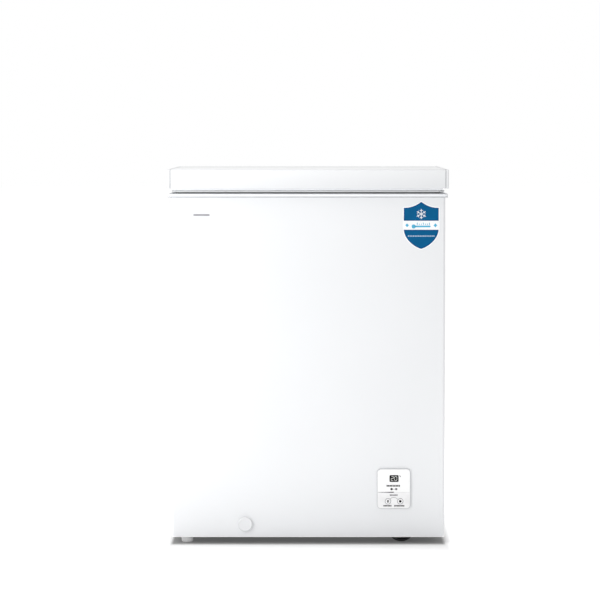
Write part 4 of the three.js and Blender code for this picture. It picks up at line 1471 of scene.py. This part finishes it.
# ------------------------------------------------------------------ control panel
@dataclass
class ControlPanel:
    """The small panel: frame, fascia, display with two digits, lamps, marks and two buttons."""

    corner: float = 9.6
    frame_width: float = 1.3
    ink: float = 0.07
    divider: float = -8.0
    tick_fill: float = 0.76
    bore_gap: float = 0.4
    digits: str = "20"

    def __post_init__(self) -> None:
        """Reads where the panel is."""
        self.box = Extent.of("panel_bezel")
        self.face = Extent.of("panel_fascia").y0
        self.rect = self.box.rect(Plane.FRONT, self.corner)

    def build(self) -> None:
        """Makes and dresses the whole panel."""
        self.bezel()
        self.fascia()
        self.display()
        self.marks()
        for side, body in (("left", Body.BUTTON_LEFT), ("right", Body.BUTTON_RIGHT)):
            self.button(side, body)
        dressed(BOARD, "control_board")

    def bezel(self) -> None:
        """The frame with its recess and the box behind it."""
        front, rect = self.box.y0, self.rect
        inner = rect.grown(-self.frame_width)
        levels = rect.levels(front, (0, 3.2), (0, 0.8), (-0.25, 0.25), (-0.8, 0))
        levels += inner.levels(front, (0.5, 0), (0.15, 0.15), (0, 0.5), (0, 1.3))
        plate = stacked(levels, Plane.FRONT)
        box = rect.grown(-4.2)
        plate.skin([Plane.FRONT.lift(r.points(10), y) for r, y in (
            (box, front + 2.7), (box, self.box.y1), (box.grown(-1.6), self.box.y1),
            (box.grown(-1.6), front + 3.5))])
        finished("panel_frame", plate, PANEL_FRAME_SHADE, "white_plastic", "panel_bezel")

    def bores(self) -> list[Shape]:
        """Tools that cut the way of both buttons through the face."""
        tools = []
        for side in ("left", "right"):
            button = Extent.of(f"button_{side}")
            x, _, z = button.middle
            radius = button.half + self.bore_gap
            tools.append(Shape().prism(circle(radius, 48, (x, z)), Plane.FRONT, self.box.y1 + 9,
                                       self.box.y0 - 9))
        return tools

    def fascia(self) -> None:
        """The white face, and the slightly darker field round the buttons."""
        rect = self.rect.grown(-self.frame_width - 0.15)
        plate = Shape().slab(rect, Plane.FRONT, self.face + 1.0, self.face, 0.25, steps=10)
        finished("panel_face", plate.combined(self.bores()), PANEL_WHITE, "white_plastic",
                 "panel_fascia")
        level = self.box.middle[2] + self.divider
        lower = sliced(rect.grown(-1.2).points(10), level, False)
        area = Shape().prism(lower, Plane.FRONT, self.face, self.face - self.ink)
        finished("panel_lower_field", area.combined(self.bores()), PANEL_GREY, "grey_plastic")

    def printed(self, name: str, outline: Sequence[Vec2], finish: Finish, count: int = 1,
                pitch: float = 0.0) -> None:
        """Prints a flat mark on the face and its field, or a row of marks.

        Args:
            name: Name of the piece.
            outline: Outline of the mark, about the panel's middle.
            finish: Its ink.
            count: How many marks the row has.
            pitch: From one mark to the next.
        """
        x, _, z = self.box.middle
        mark = Shape().prism(outline, Plane.FRONT, 0.0, -self.ink)
        mark.moved(x, self.face - self.ink, z)
        if count > 1:
            mark = repeated(name, mark, count, finish, (pitch, 0.0, 0.0))
        finished(name, mark, finish, "grey_plastic")

    def display(self) -> None:
        """The window with two seven-segment digits behind it."""
        box = Extent.of("display_window")
        window = Shape().slab(box.rect(Plane.FRONT, 2.2), Plane.FRONT, box.y1, box.y0 - 0.12, 0.3,
                              steps=6)
        finished("display_glass", window, DISPLAY, "display", "display_window")
        segments = {"a": (0, 1, True), "b": (0.5, 0.5, False), "c": (0.5, -0.5, False),
                    "d": (0, -1, True), "e": (-0.5, -0.5, False), "f": (-0.5, 0.5, False),
                    "g": (0, 0, True)}
        lit = {"2": "abged", "0": "abcdef"}
        wide, half, thin, tip = 5.0, 4.6, 0.42, 0.4
        shape = Shape()
        for place, digit in enumerate(self.digits):
            for key in lit[digit]:
                across, up, flat = segments[key]
                x = box.middle[0] - 3.9 + 7.8 * place + across * wide
                z = box.middle[2] + up * half
                long = (wide if flat else half) / 2 - 0.5
                bar = [(-long - tip, 0), (-long, -thin), (long, -thin), (long + tip, 0),
                       (long, thin), (-long, thin)]
                outline = [(x + a, z + b) if flat else (x + b, z + a) for a, b in bar]
                shape.prism(outline, Plane.FRONT, box.y0 - 0.1, box.y0 - 0.16)
        finished("display_digits", shape, SEGMENT, "display")

    def marks(self) -> None:
        """The lamps, the divider, the arc over the buttons and the rows of ticks."""
        for name, left, right, up, tall, count, finish in (
                ("top", -16.2, 14.6, 6.8, 3.9, 9, DARK_INK),
                ("mid", -8.8, 9.2, -14.4, 3.2, 6, GREY_INK),
                ("left", -23.2, -4.4, -38.8, 3.4, 6, DARK_INK),
                ("right", 1.2, 24.6, -38.8, 3.4, 8, DARK_INK)):
            pitch = (right - left) / count
            tick = Rect(left, left + pitch * self.tick_fill, up - tall / 2, up + tall / 2, (0.35,))
            self.printed(f"panel_ticks_{name}", tick.points(2), finish, count, pitch)
        half, level = self.box.half - self.frame_width - 1.0, self.divider
        turns = [math.radians(degrees) for degrees in range(40, 141, 5)]
        arc = [(11.1 * math.cos(t), 11.1 * math.sin(t) - 30.2) for t in turns]
        arc += [(10.1 * math.cos(t), 10.1 * math.sin(t) - 30.2) for t in reversed(turns)]
        for name, outline, finish in (
                ("lamp_on", circle(2.7, 28, (-5.0, -0.7)), DARK_INK),
                ("lamp_off", circle(2.4, 28, (5.6, -0.7)), GREY_INK),
                ("lamp_link", [(-2.4, -1.1), (3.2, -1.1), (3.2, -0.3), (-2.4, -0.3)], DARK_INK),
                ("divider", [(-half, level - 0.3), (0, level - 1.3), (0, level + 1.3),
                             (-half, level + 0.3)], GREY_INK),
                ("divider_fine", [(0.5, level - 0.12), (half, level - 0.12),
                                  (half, level + 0.12), (0.5, level + 0.12)], MARK_INK),
                ("arc", arc, MARK_INK),
                ("slant", [(12.6, 30.6), (14.0, 31.0), (16.0, 27.0), (14.6, 26.6)], GREY_INK)):
            self.printed(f"panel_{name}", outline, finish)

    def button(self, side: str, body: Body) -> None:
        """One round push button with a ring and a plain icon on its cap.

        Args:
            side: left or right.
            body: Body of the button.
        """
        node = f"button_{side}"
        box = Extent.of(node)
        x, _, z = box.middle
        front, radius = box.y0, box.half
        cap = Shape().turned([
            (0, 0), (3, 0), (3, 4), (radius, 4), (radius, 8.6), (radius - 0.25, 9.2),
            (radius - 0.9, 9.6), (radius - 1.3, 9.6), (radius - 2.4, 9.35), (0, 9.25),
        ], Plane.FRONT, (x, box.y1, z), -1, 48)
        finished(f"button_cap_{side}", cap, PANEL_WHITE, "white_plastic", node, body=body)
        ring = Shape().turned([
            (radius - 0.15, 0.9), (radius - 0.1, 0.35), (radius - 0.75, -0.05),
            (radius - 1.25, -0.05), (radius - 1.25, 0.9),
        ], Plane.FRONT, (x, front, z), ring=True)
        finished(f"button_ring_{side}", ring, MARK_INK, "grey_plastic", body=body)
        if side == "left":
            icon = Shape().prism(Rect(-1.7, 1.7, -3.6, 3.6, (0.6,)).points(4), Plane.FRONT,
                                 0.06, -0.06)
        else:
            petal = Shape().prism(circle(1.3, 16, (0.0, 2.1)), Plane.FRONT, 0.06, -0.06)
            icon = repeated("button_petals", petal, 6, DARK_INK, turn=(0.0, 60.0, 0.0))
            icon.prism(circle(1.5, 20), Plane.FRONT, 0.06, -0.06)
        finished(f"button_icon_{side}", icon.moved(x, front + 0.34, z), DARK_INK, "grey_plastic",
                 body=body)


# ------------------------------------------------------------------ drain
@dataclass
class Drain:
    """The drain: spout and cap at the front, hose in the foam and plug in the tank's floor."""

    cap_radius: float = 16.6
    stem: float = 12.0

    def build(self) -> None:
        """Makes and dresses the drain."""
        dressed(WHITE_PLASTIC, "drain_spout")
        dressed(GREY_PLASTIC, "drain_hose")
        box = Extent.of("drain_cap")
        x, _, z = box.middle
        seat = box.y1 - self.stem
        cap = Shape().turned([
            (0, -self.stem), (5.0, -self.stem), (5.6, -self.stem + 0.8), (5.6, 0),
            (self.cap_radius - 0.3, 0), (self.cap_radius, 0.4), (self.cap_radius, 2.0),
            (self.cap_radius - 0.4, 3.1), (self.cap_radius - 1.4, 4.0),
            (self.cap_radius - 2.6, 4.4), (self.cap_radius - 3.4, 4.3),
            (self.cap_radius - 4.4, 3.7), (self.cap_radius - 5.6, 3.5), (0, 3.4),
        ], Plane.FRONT, (x, seat, z), -1, 64)
        finished("drain_cap_disc", cap, WHITE_PLASTIC, "white_plastic", "drain_cap",
                 body=Body.DRAIN_CAP)
        self.plug()

    def plug(self) -> None:
        """The rubber plug with a pull ring."""
        box = Extent.of("drain_plug")
        x, y, _ = box.middle
        floor = box.z0 + 10
        plug = Shape().turned([
            (0, -10), (7.6, -10), (8.4, -8.6), (8.0, -6.5), (8.6, -5.2), (8.1, -3.2), (8.7, 0.3),
            (14.4, 0.3), (15.0, 0.9), (14.8, 1.8), (13.2, 2.6), (6.0, 3.0), (0, 3.0),
        ], Plane.PLAN, (x, y, floor), 1, 40)
        finished("drain_plug_body", plug, SEAL_VINYL, "grey_plastic", "drain_plug",
                 body=Body.DRAIN_PLUG)
        arch = bent([(x - 5.6, y, floor + 2.2), (x - 5.6, y, floor + 10.0),
                     (x + 5.6, y, floor + 10.0), (x + 5.6, y, floor + 2.2)], 4.2, 8)
        finished("drain_plug_pull", Shape().tube(arch, 1.2, 12), SEAL_VINYL, "grey_plastic",
                 body=Body.DRAIN_PLUG)


# ------------------------------------------------------------------ running gear
@dataclass
class RunningGear:
    """Two fixed feet on the left, two rollers in forks on the right, and the tray over them."""

    rollers: dict[str, Body] = field(default_factory=lambda: {
        "front": Body.ROLLER_FRONT, "rear": Body.ROLLER_REAR})

    def build(self) -> None:
        """Makes and dresses the running gear."""
        for end, body in self.rollers.items():
            self.foot(f"foot_{end}_left")
            self.roller(end, body)
            self.fork(end)
        dressed(ZINC, "compressor_tray")

    def foot(self, node: str) -> None:
        """A moulded foot: a ribbed skirt with a domed sole.

        Args:
            node: The foot's node.
        """
        box = Extent.of(node)
        radius, high = box.half, box.high
        x, y, _ = box.middle
        foot = Shape().turned([
            (0, 0), (radius - 5.2, 0), (radius - 3.2, 0.35), (radius - 1.5, 1.3),
            (radius - 0.4, 2.9), (radius, 4.9), (radius, high - 4.2), (radius - 0.3, high - 3.6),
            (radius - 1.4, high - 3.2), (radius - 1.4, high - 0.3), (0, high - 0.3),
        ], Plane.PLAN, (x, y, box.z0), 1, 64)
        rib = Shape().prism([(radius - 2.0, -0.5), (radius - 0.1, -0.5), (radius - 0.1, 0.5),
                             (radius - 2.0, 0.5)], Plane.PLAN, high - 3.8, high - 0.5)
        ribs = repeated(f"{node}_ribs", rib, 16, FOOT_PLASTIC, turn=(0.0, 0.0, 360 / 16))
        finished(f"{node}_sole", foot.add(ribs.moved(x, y, box.z0)), FOOT_PLASTIC, "white_plastic",
                 node)

    def roller(self, end: str, body: Body) -> None:
        """A moulded roller: crowned tread, hub and spokes.

        Args:
            end: front or rear.
            body: Body of the roller.
        """
        node = f"roller_{end}"
        box = Extent.of(node)
        x, y, z = box.middle
        radius, half = box.half, (box.y1 - box.y0) / 2
        tread = [(-5.2, -half), (-2.2, -half), (-1.0, -half + 1.0), (-0.3, -half + 3.0), (0.0, 0.0),
                 (-0.3, half - 3.0), (-1.0, half - 1.0), (-2.2, half), (-5.2, half),
                 (-6.4, half - 2.2), (-7.2, 2.0), (-7.2, -2.0), (-6.4, -half + 2.2)]
        wheel = Shape().turned([(radius + inset, at) for inset, at in tread], Plane.FRONT,
                               box.middle, 1, 64, True)
        hub = [(4.6, -half + 0.4), (5.0, -half), (8.2, -half), (9.0, -half + 0.8)]
        hub += [(r, -at) for r, at in reversed(hub)]
        wheel.turned(hub, Plane.FRONT, box.middle, 1, 40, True)
        wheel.turned([(8.6, -1.2), (radius - 6.8, -1.2), (radius - 6.8, 1.2), (8.6, 1.2)],
                     Plane.FRONT, box.middle, 1, 40, True)
        spoke = Shape().prism([(-0.9, 8.6), (0.9, 8.6), (0.9, radius - 6.5),
                               (-0.9, radius - 6.5)], Plane.FRONT, -half + 1.6, half - 1.6)
        spokes = repeated(f"{node}_spokes", spoke, 8, BLACK_PLASTIC, turn=(0.0, 45.0, 0.0))
        finished(f"{node}_wheel", wheel.add(spokes.moved(x, y, z)), BLACK_PLASTIC, "black_plastic",
                 node, body=body)

    def fork(self, end: str) -> None:
        """A pressed steel fork and its headed axle.

        Args:
            end: front or rear.
        """
        node, axle = f"roller_fork_{end}", Extent.of(f"roller_axle_{end}")
        x, z = Extent.of(node).middle[0], axle.middle[2]
        dressed(ZINC, node)
        low, high = axle.y0, axle.y1
        ends = Shape().turned([(0, 0), (4.0, 0), (4.0, high - low - 0.2), (0, high - low - 0.2)],
                              Plane.FRONT, (x, low + 0.1, z), 1, 24)
        for at, sign in ((low + 1.2, -1), (high - 1.2, 1)):
            ends.turned([(0, 0), (6.2, 0), (6.4, 0.6), (5.6, 1.8), (3.2, 2.4), (0, 2.5)],
                        Plane.FRONT, (x, at, z), sign, 28)
        finished(f"roller_axle_pin_{end}", ends, SPRING_STEEL, "spring_steel",
                 f"roller_axle_{end}")


# ------------------------------------------------------------------ compressor bay
@dataclass
class CompressorBay:
    """The sealed compressor on its base, its pipes, and the vented panels round the bay."""

    origin: Vec3 = (212.0, 105.0, 18.6)
    discharge: Sequence[Vec3] = ((53, 53, 60), (80, 80, 60), (80, 118, 60), (80, 118, 207.4))
    suction: Sequence[Vec3] = ((-53, 53, 70), (-72, 72, 70), (-72, 110, 70), (-72, 110, 207.4))
    capillary: Sequence[Vec3] = ((-80, 10, 146), (-80, 10, 170), (-60, 40, 190),
                                 (-60, 40, 207.4))
    mounts: Sequence[Vec2] = ((42, 74), (-42, 74), (42, -74), (-42, -74))

    def build(self) -> None:
        """Makes and dresses the bay."""
        self.pot()
        self.mount()
        self.pipes()
        self.relay()
        self.side_grille()
        self.rear_cover()
        self.gland()

    def pot(self) -> None:
        """The drawn steel pot with its welded seam."""
        x, y, z = self.origin
        profile = [(0, 17), (22, 17.2), (36, 19.5), (48, 23.5), (57, 29), (63, 35.5), (65.6, 42),
                   (66.2, 50), (66.2, 89.5), (67.2, 90.6), (69.7, 91.4), (70, 92.6), (70, 97),
                   (69.4, 98.1), (67.0, 98.6), (66, 100), (65.6, 112), (64.2, 126), (60.6, 138),
                   (54.5, 148), (45.5, 156), (34, 161.6), (20, 165), (8, 166), (0, 166)]
        pot = Shape().turned(profile, Plane.PLAN, (x, y, z), 1, 72)
        finished("compressor_pot", pot, POT_ENAMEL, "black_enamel", "compressor_housing")

    def mount(self) -> None:
        """The base plate, on grommets with bolts through them."""
        dressed(POT_ENAMEL, "compressor_base")
        x, y, _ = self.origin
        for k in range(1, 5):
            node = f"compressor_grommet_{k}"
            seat = Extent.of(node)
            radius, high = seat.half, seat.high
            gx, gy, _ = seat.middle
            rubber = Shape().turned([
                (0, 0), (radius - 0.8, 0), (radius, 0.8), (radius, high * 0.42),
                (radius - 1.8, high * 0.5), (radius - 1.8, high * 0.55), (radius, high * 0.62),
                (radius, high * 0.86), (radius - 1.4, high - 0.2), (0, high - 0.2),
            ], Plane.PLAN, (gx, gy, seat.z0), 1, 32)
            finished(f"grommet_{k}", rubber, BLACK_RUBBER, "black_rubber", node)
        top = Extent.of("compressor_grommet_1").z1
        bolt = Shape().turned([(0, -1), (8.4, -1), (8.6, 0.4), (8.2, 1.2), (0, 1.2)], Plane.PLAN,
                              (0, 0, 0), 1, 28)
        bolt.prism([(5.8 * math.cos(math.radians(60 * k)), 5.8 * math.sin(math.radians(60 * k)))
                    for k in range(6)], Plane.PLAN, 1.0, 5.4)
        bolts = placed_at("base_bolts", bolt, [(x + a, y + b, top) for a, b in self.mounts],
                          SPRING_STEEL)
        finished("compressor_bolts", bolts, SPRING_STEEL, "spring_steel")

    def pipes(self) -> None:
        """The discharge, suction and capillary tubes and the filter drier."""
        for name, path, radius, bend in (("discharge_tube", self.discharge, 3.0, 14.0),
                                         ("suction_tube", self.suction, 4.0, 16.0),
                                         ("capillary_tube", self.capillary, 1.2, 6.0)):
            line = bent([tuple(a + b for a, b in zip(point, self.origin)) for point in path],
                        bend, 8)
            finished(f"{name}_run", Shape().tube(line, radius, 16), COPPER, "copper", name)
        box = Extent.of("filter_drier")
        radius, high = box.half, box.high
        drier = Shape().turned([
            (0, 0), (1.8, 0), (1.9, 4.0), (3.6, 7.0), (7.6, 12.0), (radius - 0.4, 15.5),
            (radius, 17.5), (radius, 24), (radius - 0.7, 24.8), (radius - 0.7, 26),
            (radius, 26.8), (radius, high - 18), (radius - 0.4, high - 15.5),
            (7.0, high - 10.5), (3.2, high - 6), (2.2, high - 4), (2.2, high), (0, high),
        ], Plane.PLAN, (box.middle[0], box.middle[1], box.z0), 1, 32)
        finished("filter_drier_can", drier, COPPER, "copper", "filter_drier")

    def relay(self) -> None:
        """The relay's cover: a rounded box with cooling ribs."""
        box = Extent.of("relay_cover")
        rect = box.rect(Plane.FRONT, 5.0)
        cover = Shape().slab(rect, Plane.FRONT, box.y1, box.y0 + 1.4, 3.5, steps=8)
        rib = Shape().block(box.x0 + 8, box.x1 - 8, box.y0 + 0.2, box.y0 + 2.4,
                            box.z0 + 10, box.z0 + 11.6)
        ribs = repeated("relay_ribs", rib, 8, BLACK_PLASTIC, (0.0, 0.0, 5.6))
        finished("relay_box", cover.add(ribs), BLACK_PLASTIC, "black_plastic", "relay_cover")

    def side_grille(self) -> None:
        """The grille in the right-hand side: a frame and drooping louvres."""
        box = Extent.of("side_grille")
        rect = box.rect(Plane.SIDE, 5.0)
        inner = Rect(box.y0 + 13, box.y1 - 13, box.z0 + 11, box.z1 - 11, (2.0,))
        shell = Extent.of("outer_shell").x1
        out = box.x1
        levels = [(rect, shell + 0.05), *rect.levels(out, (0, -0.9), (-0.3, -0.3), (-0.9, 0))]
        levels += inner.levels(out, (0.8, 0), (0.2, -0.2), (0, -0.8))
        levels += inner.levels(shell, (0, -6), (1.6, -6), (1.6, 0.05))
        frame_ring = stacked(levels, Plane.SIDE, ring=True)
        blade = Shape().prism([(shell - 6.5, 4.4), (shell - 6.5, 3.2), (out - 0.6, -4.6),
                               (out - 0.2, -4.4), (out - 0.2, -3.4)], Plane.FRONT,
                              inner.x0 - 0.4, inner.x1 + 0.4)
        count = 9
        pitch = (inner.y1 - inner.y0) / count
        blades = repeated("grille_blades", blade.moved(z=inner.y0 + pitch / 2 + 0.6), count,
                          WHITE_PLASTIC, (0.0, 0.0, pitch))
        bar = Shape()
        for y in (inner.x0 + (inner.x1 - inner.x0) * t for t in (0.333, 0.667)):
            bar.block(shell - 6.3, out - 1.3, y - 1.2, y + 1.2, inner.y0 - 0.5, inner.y1 + 0.5)
        finished("side_grille_louvres", frame_ring.add(blades).add(bar), WHITE_PLASTIC,
                 "white_plastic", "side_grille")

    def rear_cover(self) -> None:
        """The vented sheet behind the bay, with half-pierced louvres and screws."""
        box = Extent.of("rear_cover")
        plate = Shape().prism(box.rect(Plane.FRONT, 4.0).points(6),
                              Plane.FRONT, box.y0, box.y1)
        slot = Shape().prism(Rect(143, 283.5, 80, 85, (2.4,)).points(6), Plane.FRONT,
                             box.y0 - 4, box.y1 + 4)
        slots = repeated("cover_slots", slot, 9, ZINC, (0.0, 0.0, 13.0))
        gland = Extent.of("cord_gland")
        hole = Shape().prism(circle(6.5, 28, (gland.middle[0], gland.middle[2])), Plane.FRONT,
                             box.y0 - 4, box.y1 + 4)
        plate = plate.combined([slots, hole])
        hood = Shape().prism([(box.y1 - 0.2, 86.4), (box.y1 - 0.2, 84.6), (box.y1 + 3.4, 80.6),
                              (box.y1 + 4.0, 81.0), (box.y1 + 3.4, 83.0)], Plane.SIDE,
                             144.5, 282.0)
        hoods = repeated("cover_hoods", hood, 9, ZINC, (0.0, 0.0, 13.0))
        finished("rear_cover_vents", plate.add(hoods), ZINC, "galvanised", "rear_cover")
        spots = [(x, box.y1, z) for x in (box.x0 + 7, box.x1 - 7)
                 for z in (box.z0 + 8, 122.0, box.z1 - 7)]
        screws("rear_cover_screws", spots)

    def gland(self) -> None:
        """The strain-relief gland where the mains lead would leave, left open."""
        box = Extent.of("cord_gland")
        x, _, z = box.middle
        radius = box.half
        seat = Extent.of("rear_cover").y1
        out = box.y1 - seat
        sleeve = Shape().turned([
            (6.2, -5.6), (6.2, 0.05), (radius - 0.3, 0.05), (radius, 0.4), (radius, 2.6),
            (radius - 0.6, 3.2), (radius - 1.6, 3.6), (5.9, out - 0.6), (5.3, out), (4.4, out),
            (4.0, out - 0.6), (4.0, -5.6),
        ], Plane.FRONT, (x, seat, z), 1, 36, True)
        finished("cord_gland_sleeve", sleeve, BLACK_RUBBER, "black_rubber", "cord_gland")


# ------------------------------------------------------------------ hinges
@dataclass
class Hinges:
    """Two counterbalanced hinges: base on the cabinet's back, leaf on the lid, wound springs."""

    sides: dict[str, float] = field(default_factory=lambda: {"left": -205.0, "right": 205.0})
    pin_y: float = 271.5
    pin_z: float = 800.0
    sleeve: float = 6.4
    wire: float = 1.3
    turns: float = 12.0

    def build(self) -> None:
        """Makes and dresses both hinges."""
        for side, x in self.sides.items():
            dressed(ZINC, f"hinge_base_{side}", f"hinge_leaf_{side}")
            self.pin(side)
            self.spring(side)
            self.screws(side, x)

    def pin(self, side: str) -> None:
        """The pin of one hinge, chamfered at each end.

        Args:
            side: left or right.
        """
        box = Extent.of(f"hinge_pin_{side}")
        long = box.x1 - box.x0
        pin = Shape().turned([(0, 0.1), (3.1, 0.1), (3.5, 0.8), (3.5, long - 0.8),
                              (3.1, long - 0.1), (0, long - 0.1)], Plane.SIDE,
                             (box.x0, self.pin_y, self.pin_z), 1, 24)
        finished(f"hinge_pin_bar_{side}", pin, SPRING_STEEL, "spring_steel", f"hinge_pin_{side}")

    def spring(self, side: str) -> None:
        """The torsion spring wound round one pin.

        Args:
            side: left or right.
        """
        box = Extent.of(f"hinge_spring_{side}")
        long = box.x1 - box.x0
        wound = coil(f"hinge_coil_{side}", self.turns, self.sleeve - self.wire - 0.05,
                     long - 2 * self.wire - 0.2, self.wire, SPRING_STEEL)
        wound.turned_by(90, (0, 1, 0)).moved(box.x0 + self.wire + 0.1, self.pin_y, self.pin_z)
        finished(f"hinge_coil_{side}", wound, SPRING_STEEL, "spring_steel", f"hinge_spring_{side}")

    def screws(self, side: str, x: float) -> None:
        """The screws of the base and of the leaf.

        Args:
            side: left or right.
            x: Middle of the hinge.
        """
        places = {"base": (Body.CABINET, [(-16, 716), (16, 716), (-16, 752), (16, 752)]),
                  "leaf": (Body.LID, [(-20, 835), (0, 835), (20, 835)])}
        for part, (body, spots) in places.items():
            back = Extent.of(f"hinge_{part}_{side}").y0 + 2.5
            screws(f"hinge_{part}_screws_{side}", [(x + a, back, z) for a, z in spots], 4.0, body)


# ------------------------------------------------------------------ basket
@dataclass
class Basket:
    """The hanging basket of dipped wire, with two hook ends and snap-on grips."""

    centre: Vec3 = (-146.0, -5.5, 767.3)
    half_x: float = 105.0
    half_y: float = 202.5
    corner: float = 7.0
    depth: float = 205.0
    hooks: Vec2 = (80.0, 218.0)
    wire: float = 1.4
    rim_wire: float = 2.3

    def build(self) -> None:
        """Makes the basket from runs of bent wire and dresses its grips."""
        mesh = Shape()
        for made in (self.cross_wires(), self.long_wires(), self.rings(), self.rims()):
            mesh.add(made)
        x, y, z = self.centre
        finished("basket_wires", mesh.moved(x, y, z), WIRE_COAT, "basket_coat", "storage_basket",
                 "basket_floor", body=Body.BASKET)
        for end in ("front", "rear"):
            box = Extent.of(f"basket_grip_{end}")
            rect = box.rect(Plane.PLAN, 3.0)
            grip = Shape().slab(rect, Plane.PLAN, box.z0, box.z1, 1.8, both=True, steps=6)
            finished(f"grip_{end}", grip, GREY_PLASTIC, "grey_plastic", f"basket_grip_{end}",
                     body=Body.BASKET)

    def section(self, half: float, low: float) -> list[Vec2]:
        """One upright U of wire: across positions and heights."""
        top = 2.0
        return [(-half, top), (-half + 2, -self.corner - 6 + top), (-half + 4, low + 14),
                (-half + 16, low), (half - 16, low), (half - 4, low + 14),
                (half - 2, -self.corner - 6 + top), (half, top)]

    def cross_wires(self) -> Shape:
        """U-shaped wires across the basket, side to side."""
        low = -self.depth + self.wire + 0.6
        first = -self.half_y + 22
        path = bent([(a, first, b) for a, b in self.section(self.half_x - self.wire, low)], 6.0, 4)
        count = 15
        step = (2 * self.half_y - 44) / (count - 1)
        return wires("basket_cross", path, False, self.wire, WIRE_COAT, count, (0.0, step, 0.0))

    def long_wires(self) -> Shape:
        """U-shaped wires along the basket, front to back."""
        low = -self.depth + 3 * self.wire + 0.4
        first = -self.half_x + 20
        path = bent([(first, a, b) for a, b in self.section(self.half_y - self.wire, low)], 6.0, 4)
        count = 8
        step = (2 * self.half_x - 40) / (count - 1)
        return wires("basket_long", path, False, self.wire, WIRE_COAT, count, (step, 0.0, 0.0))

    def rings(self) -> Shape:
        """Level rings of wire inside the uprights."""
        rect = Rect(-self.half_x, self.half_x, -self.half_y, self.half_y, (self.corner,))
        rect = rect.grown(-3.4 * self.wire - 2.6)
        path = [(a, b, -34.0) for a, b in rect.points(6)]
        return wires("basket_rings", path, True, self.wire, WIRE_COAT, 5, (0.0, 0.0, -34.0))

    def rims(self) -> Shape:
        """The heavy rim, a second rail under it, and the hook loops that ride on the ledge."""
        rect = Rect(-self.half_x, self.half_x, -self.half_y, self.half_y, (self.corner,))
        outer = [(a, b, 2.6) for a, b in rect.grown(2.2).points(6)]
        rim = wires("basket_rim", outer, True, self.rim_wire, WIRE_COAT, sides=12)
        inner = [(a, b, -12.0) for a, b in rect.grown(-0.6).points(6)]
        rim.add(wires("basket_rail", inner, True, self.wire, WIRE_COAT))
        reach, far = self.hooks
        for sign in (-1, 1):
            loop = bent([(-reach, sign * (self.half_y + 2.0), 2.6), (-reach, sign * far, 2.6),
                         (reach, sign * far, 2.6), (reach, sign * (self.half_y + 2.0), 2.6)],
                        8.0, 6)
            rim.tube(loop, self.rim_wire - 0.1, 12)
        return rim


# ------------------------------------------------------------------ studio
@dataclass
class Studio:
    """Pale floor, plain soft light and the camera."""

    eye: Vec3 = (0.0, -6.301, 0.935)
    pitch: float = 3.095
    lens: float = 160.32
    shift: Vec2 = (-0.0134, -0.04)
    ambient: float = 0.437

    def build(self) -> None:
        """Sets up the floor, the world, the lamps and the camera."""
        self.floor()
        self.world()
        self.lamp("key", (-1.0, -1.2, 0.85), (-0.2, -0.28, 0.5), 0.7, 8.5)
        self.lamp("top", (-0.2, -0.2, 3.0), (0.0, -0.2, 0.0), 2.2, 40.0)
        self.camera()

    def floor(self) -> None:
        """A wide floor under the object."""
        made = bpy.data.meshes.new("studio_floor")
        made.from_pydata([(-40, -40, 0), (40, -40, 0), (40, 40, 0), (-40, 40, 0)], [],
                         [(0, 1, 2, 3)])
        made.materials.append(FLOOR.material())
        placed("studio_floor", made)

    def world(self) -> None:
        """An even world: white behind the object, softer as a light."""
        world = bpy.data.worlds.new("studio_world")
        bpy.context.scene.world = world
        world.use_nodes = True
        tree = world.node_tree
        tree.nodes.clear()
        ray = tree.nodes.new("ShaderNodeLightPath")
        mix = tree.nodes.new("ShaderNodeMixShader")
        out = tree.nodes.new("ShaderNodeOutputWorld")
        tree.links.new(ray.outputs["Is Camera Ray"], mix.inputs[0])
        for place, strength in ((1, self.ambient), (2, 1.0)):
            light = tree.nodes.new("ShaderNodeBackground")
            light.inputs["Color"].default_value = (1.0, 1.0, 1.0, 1.0)
            light.inputs["Strength"].default_value = strength
            tree.links.new(light.outputs[0], mix.inputs[place])
        tree.links.new(mix.outputs[0], out.inputs["Surface"])

    def lamp(self, name: str, place: Vec3, target: Vec3, size: float, power: float) -> None:
        """Hangs a square soft lamp.

        Args:
            name: Its name.
            place: Where it hangs, in metres.
            target: What it points at, in metres.
            size: Side of the lamp, in metres.
            power: Its power in watts.
        """
        light = bpy.data.lights.new(name, "AREA")
        light.size, light.energy = size, power
        lamp = placed(name, light)
        lamp.location = place
        way = Vector(target) - Vector(place)
        lamp.rotation_euler = way.to_track_quat("-Z", "Y").to_euler()
        lamp.visible_camera = False

    def camera(self) -> None:
        """A long lens in front of the object, a little above its middle."""
        lens = bpy.data.cameras.new("camera")
        lens.lens, lens.sensor_width = self.lens, 36.0
        lens.shift_x, lens.shift_y = self.shift
        lens.clip_end = 100.0
        camera = placed("camera", lens)
        camera.location = self.eye
        camera.rotation_euler = (math.radians(90 - self.pitch), 0.0, 0.0)
        bpy.context.scene.camera = camera
        bpy.context.scene.view_settings.view_transform = "Standard"
        bpy.context.scene.view_settings.look = "None"


def main() -> None:
    """Builds the studio and every sub-assembly in order."""
    logging.basicConfig(level=logging.INFO, format="%(name)s: %(message)s")
    for part in (Studio(), Cabinet(), FrontLabels(), Lid(), ControlPanel(), Drain(),
                 RunningGear(), CompressorBay(), Hinges(), Basket()):
        LOG.info("building %s", type(part).__name__)
        part.build()


if __name__ == "__main__":
    main()
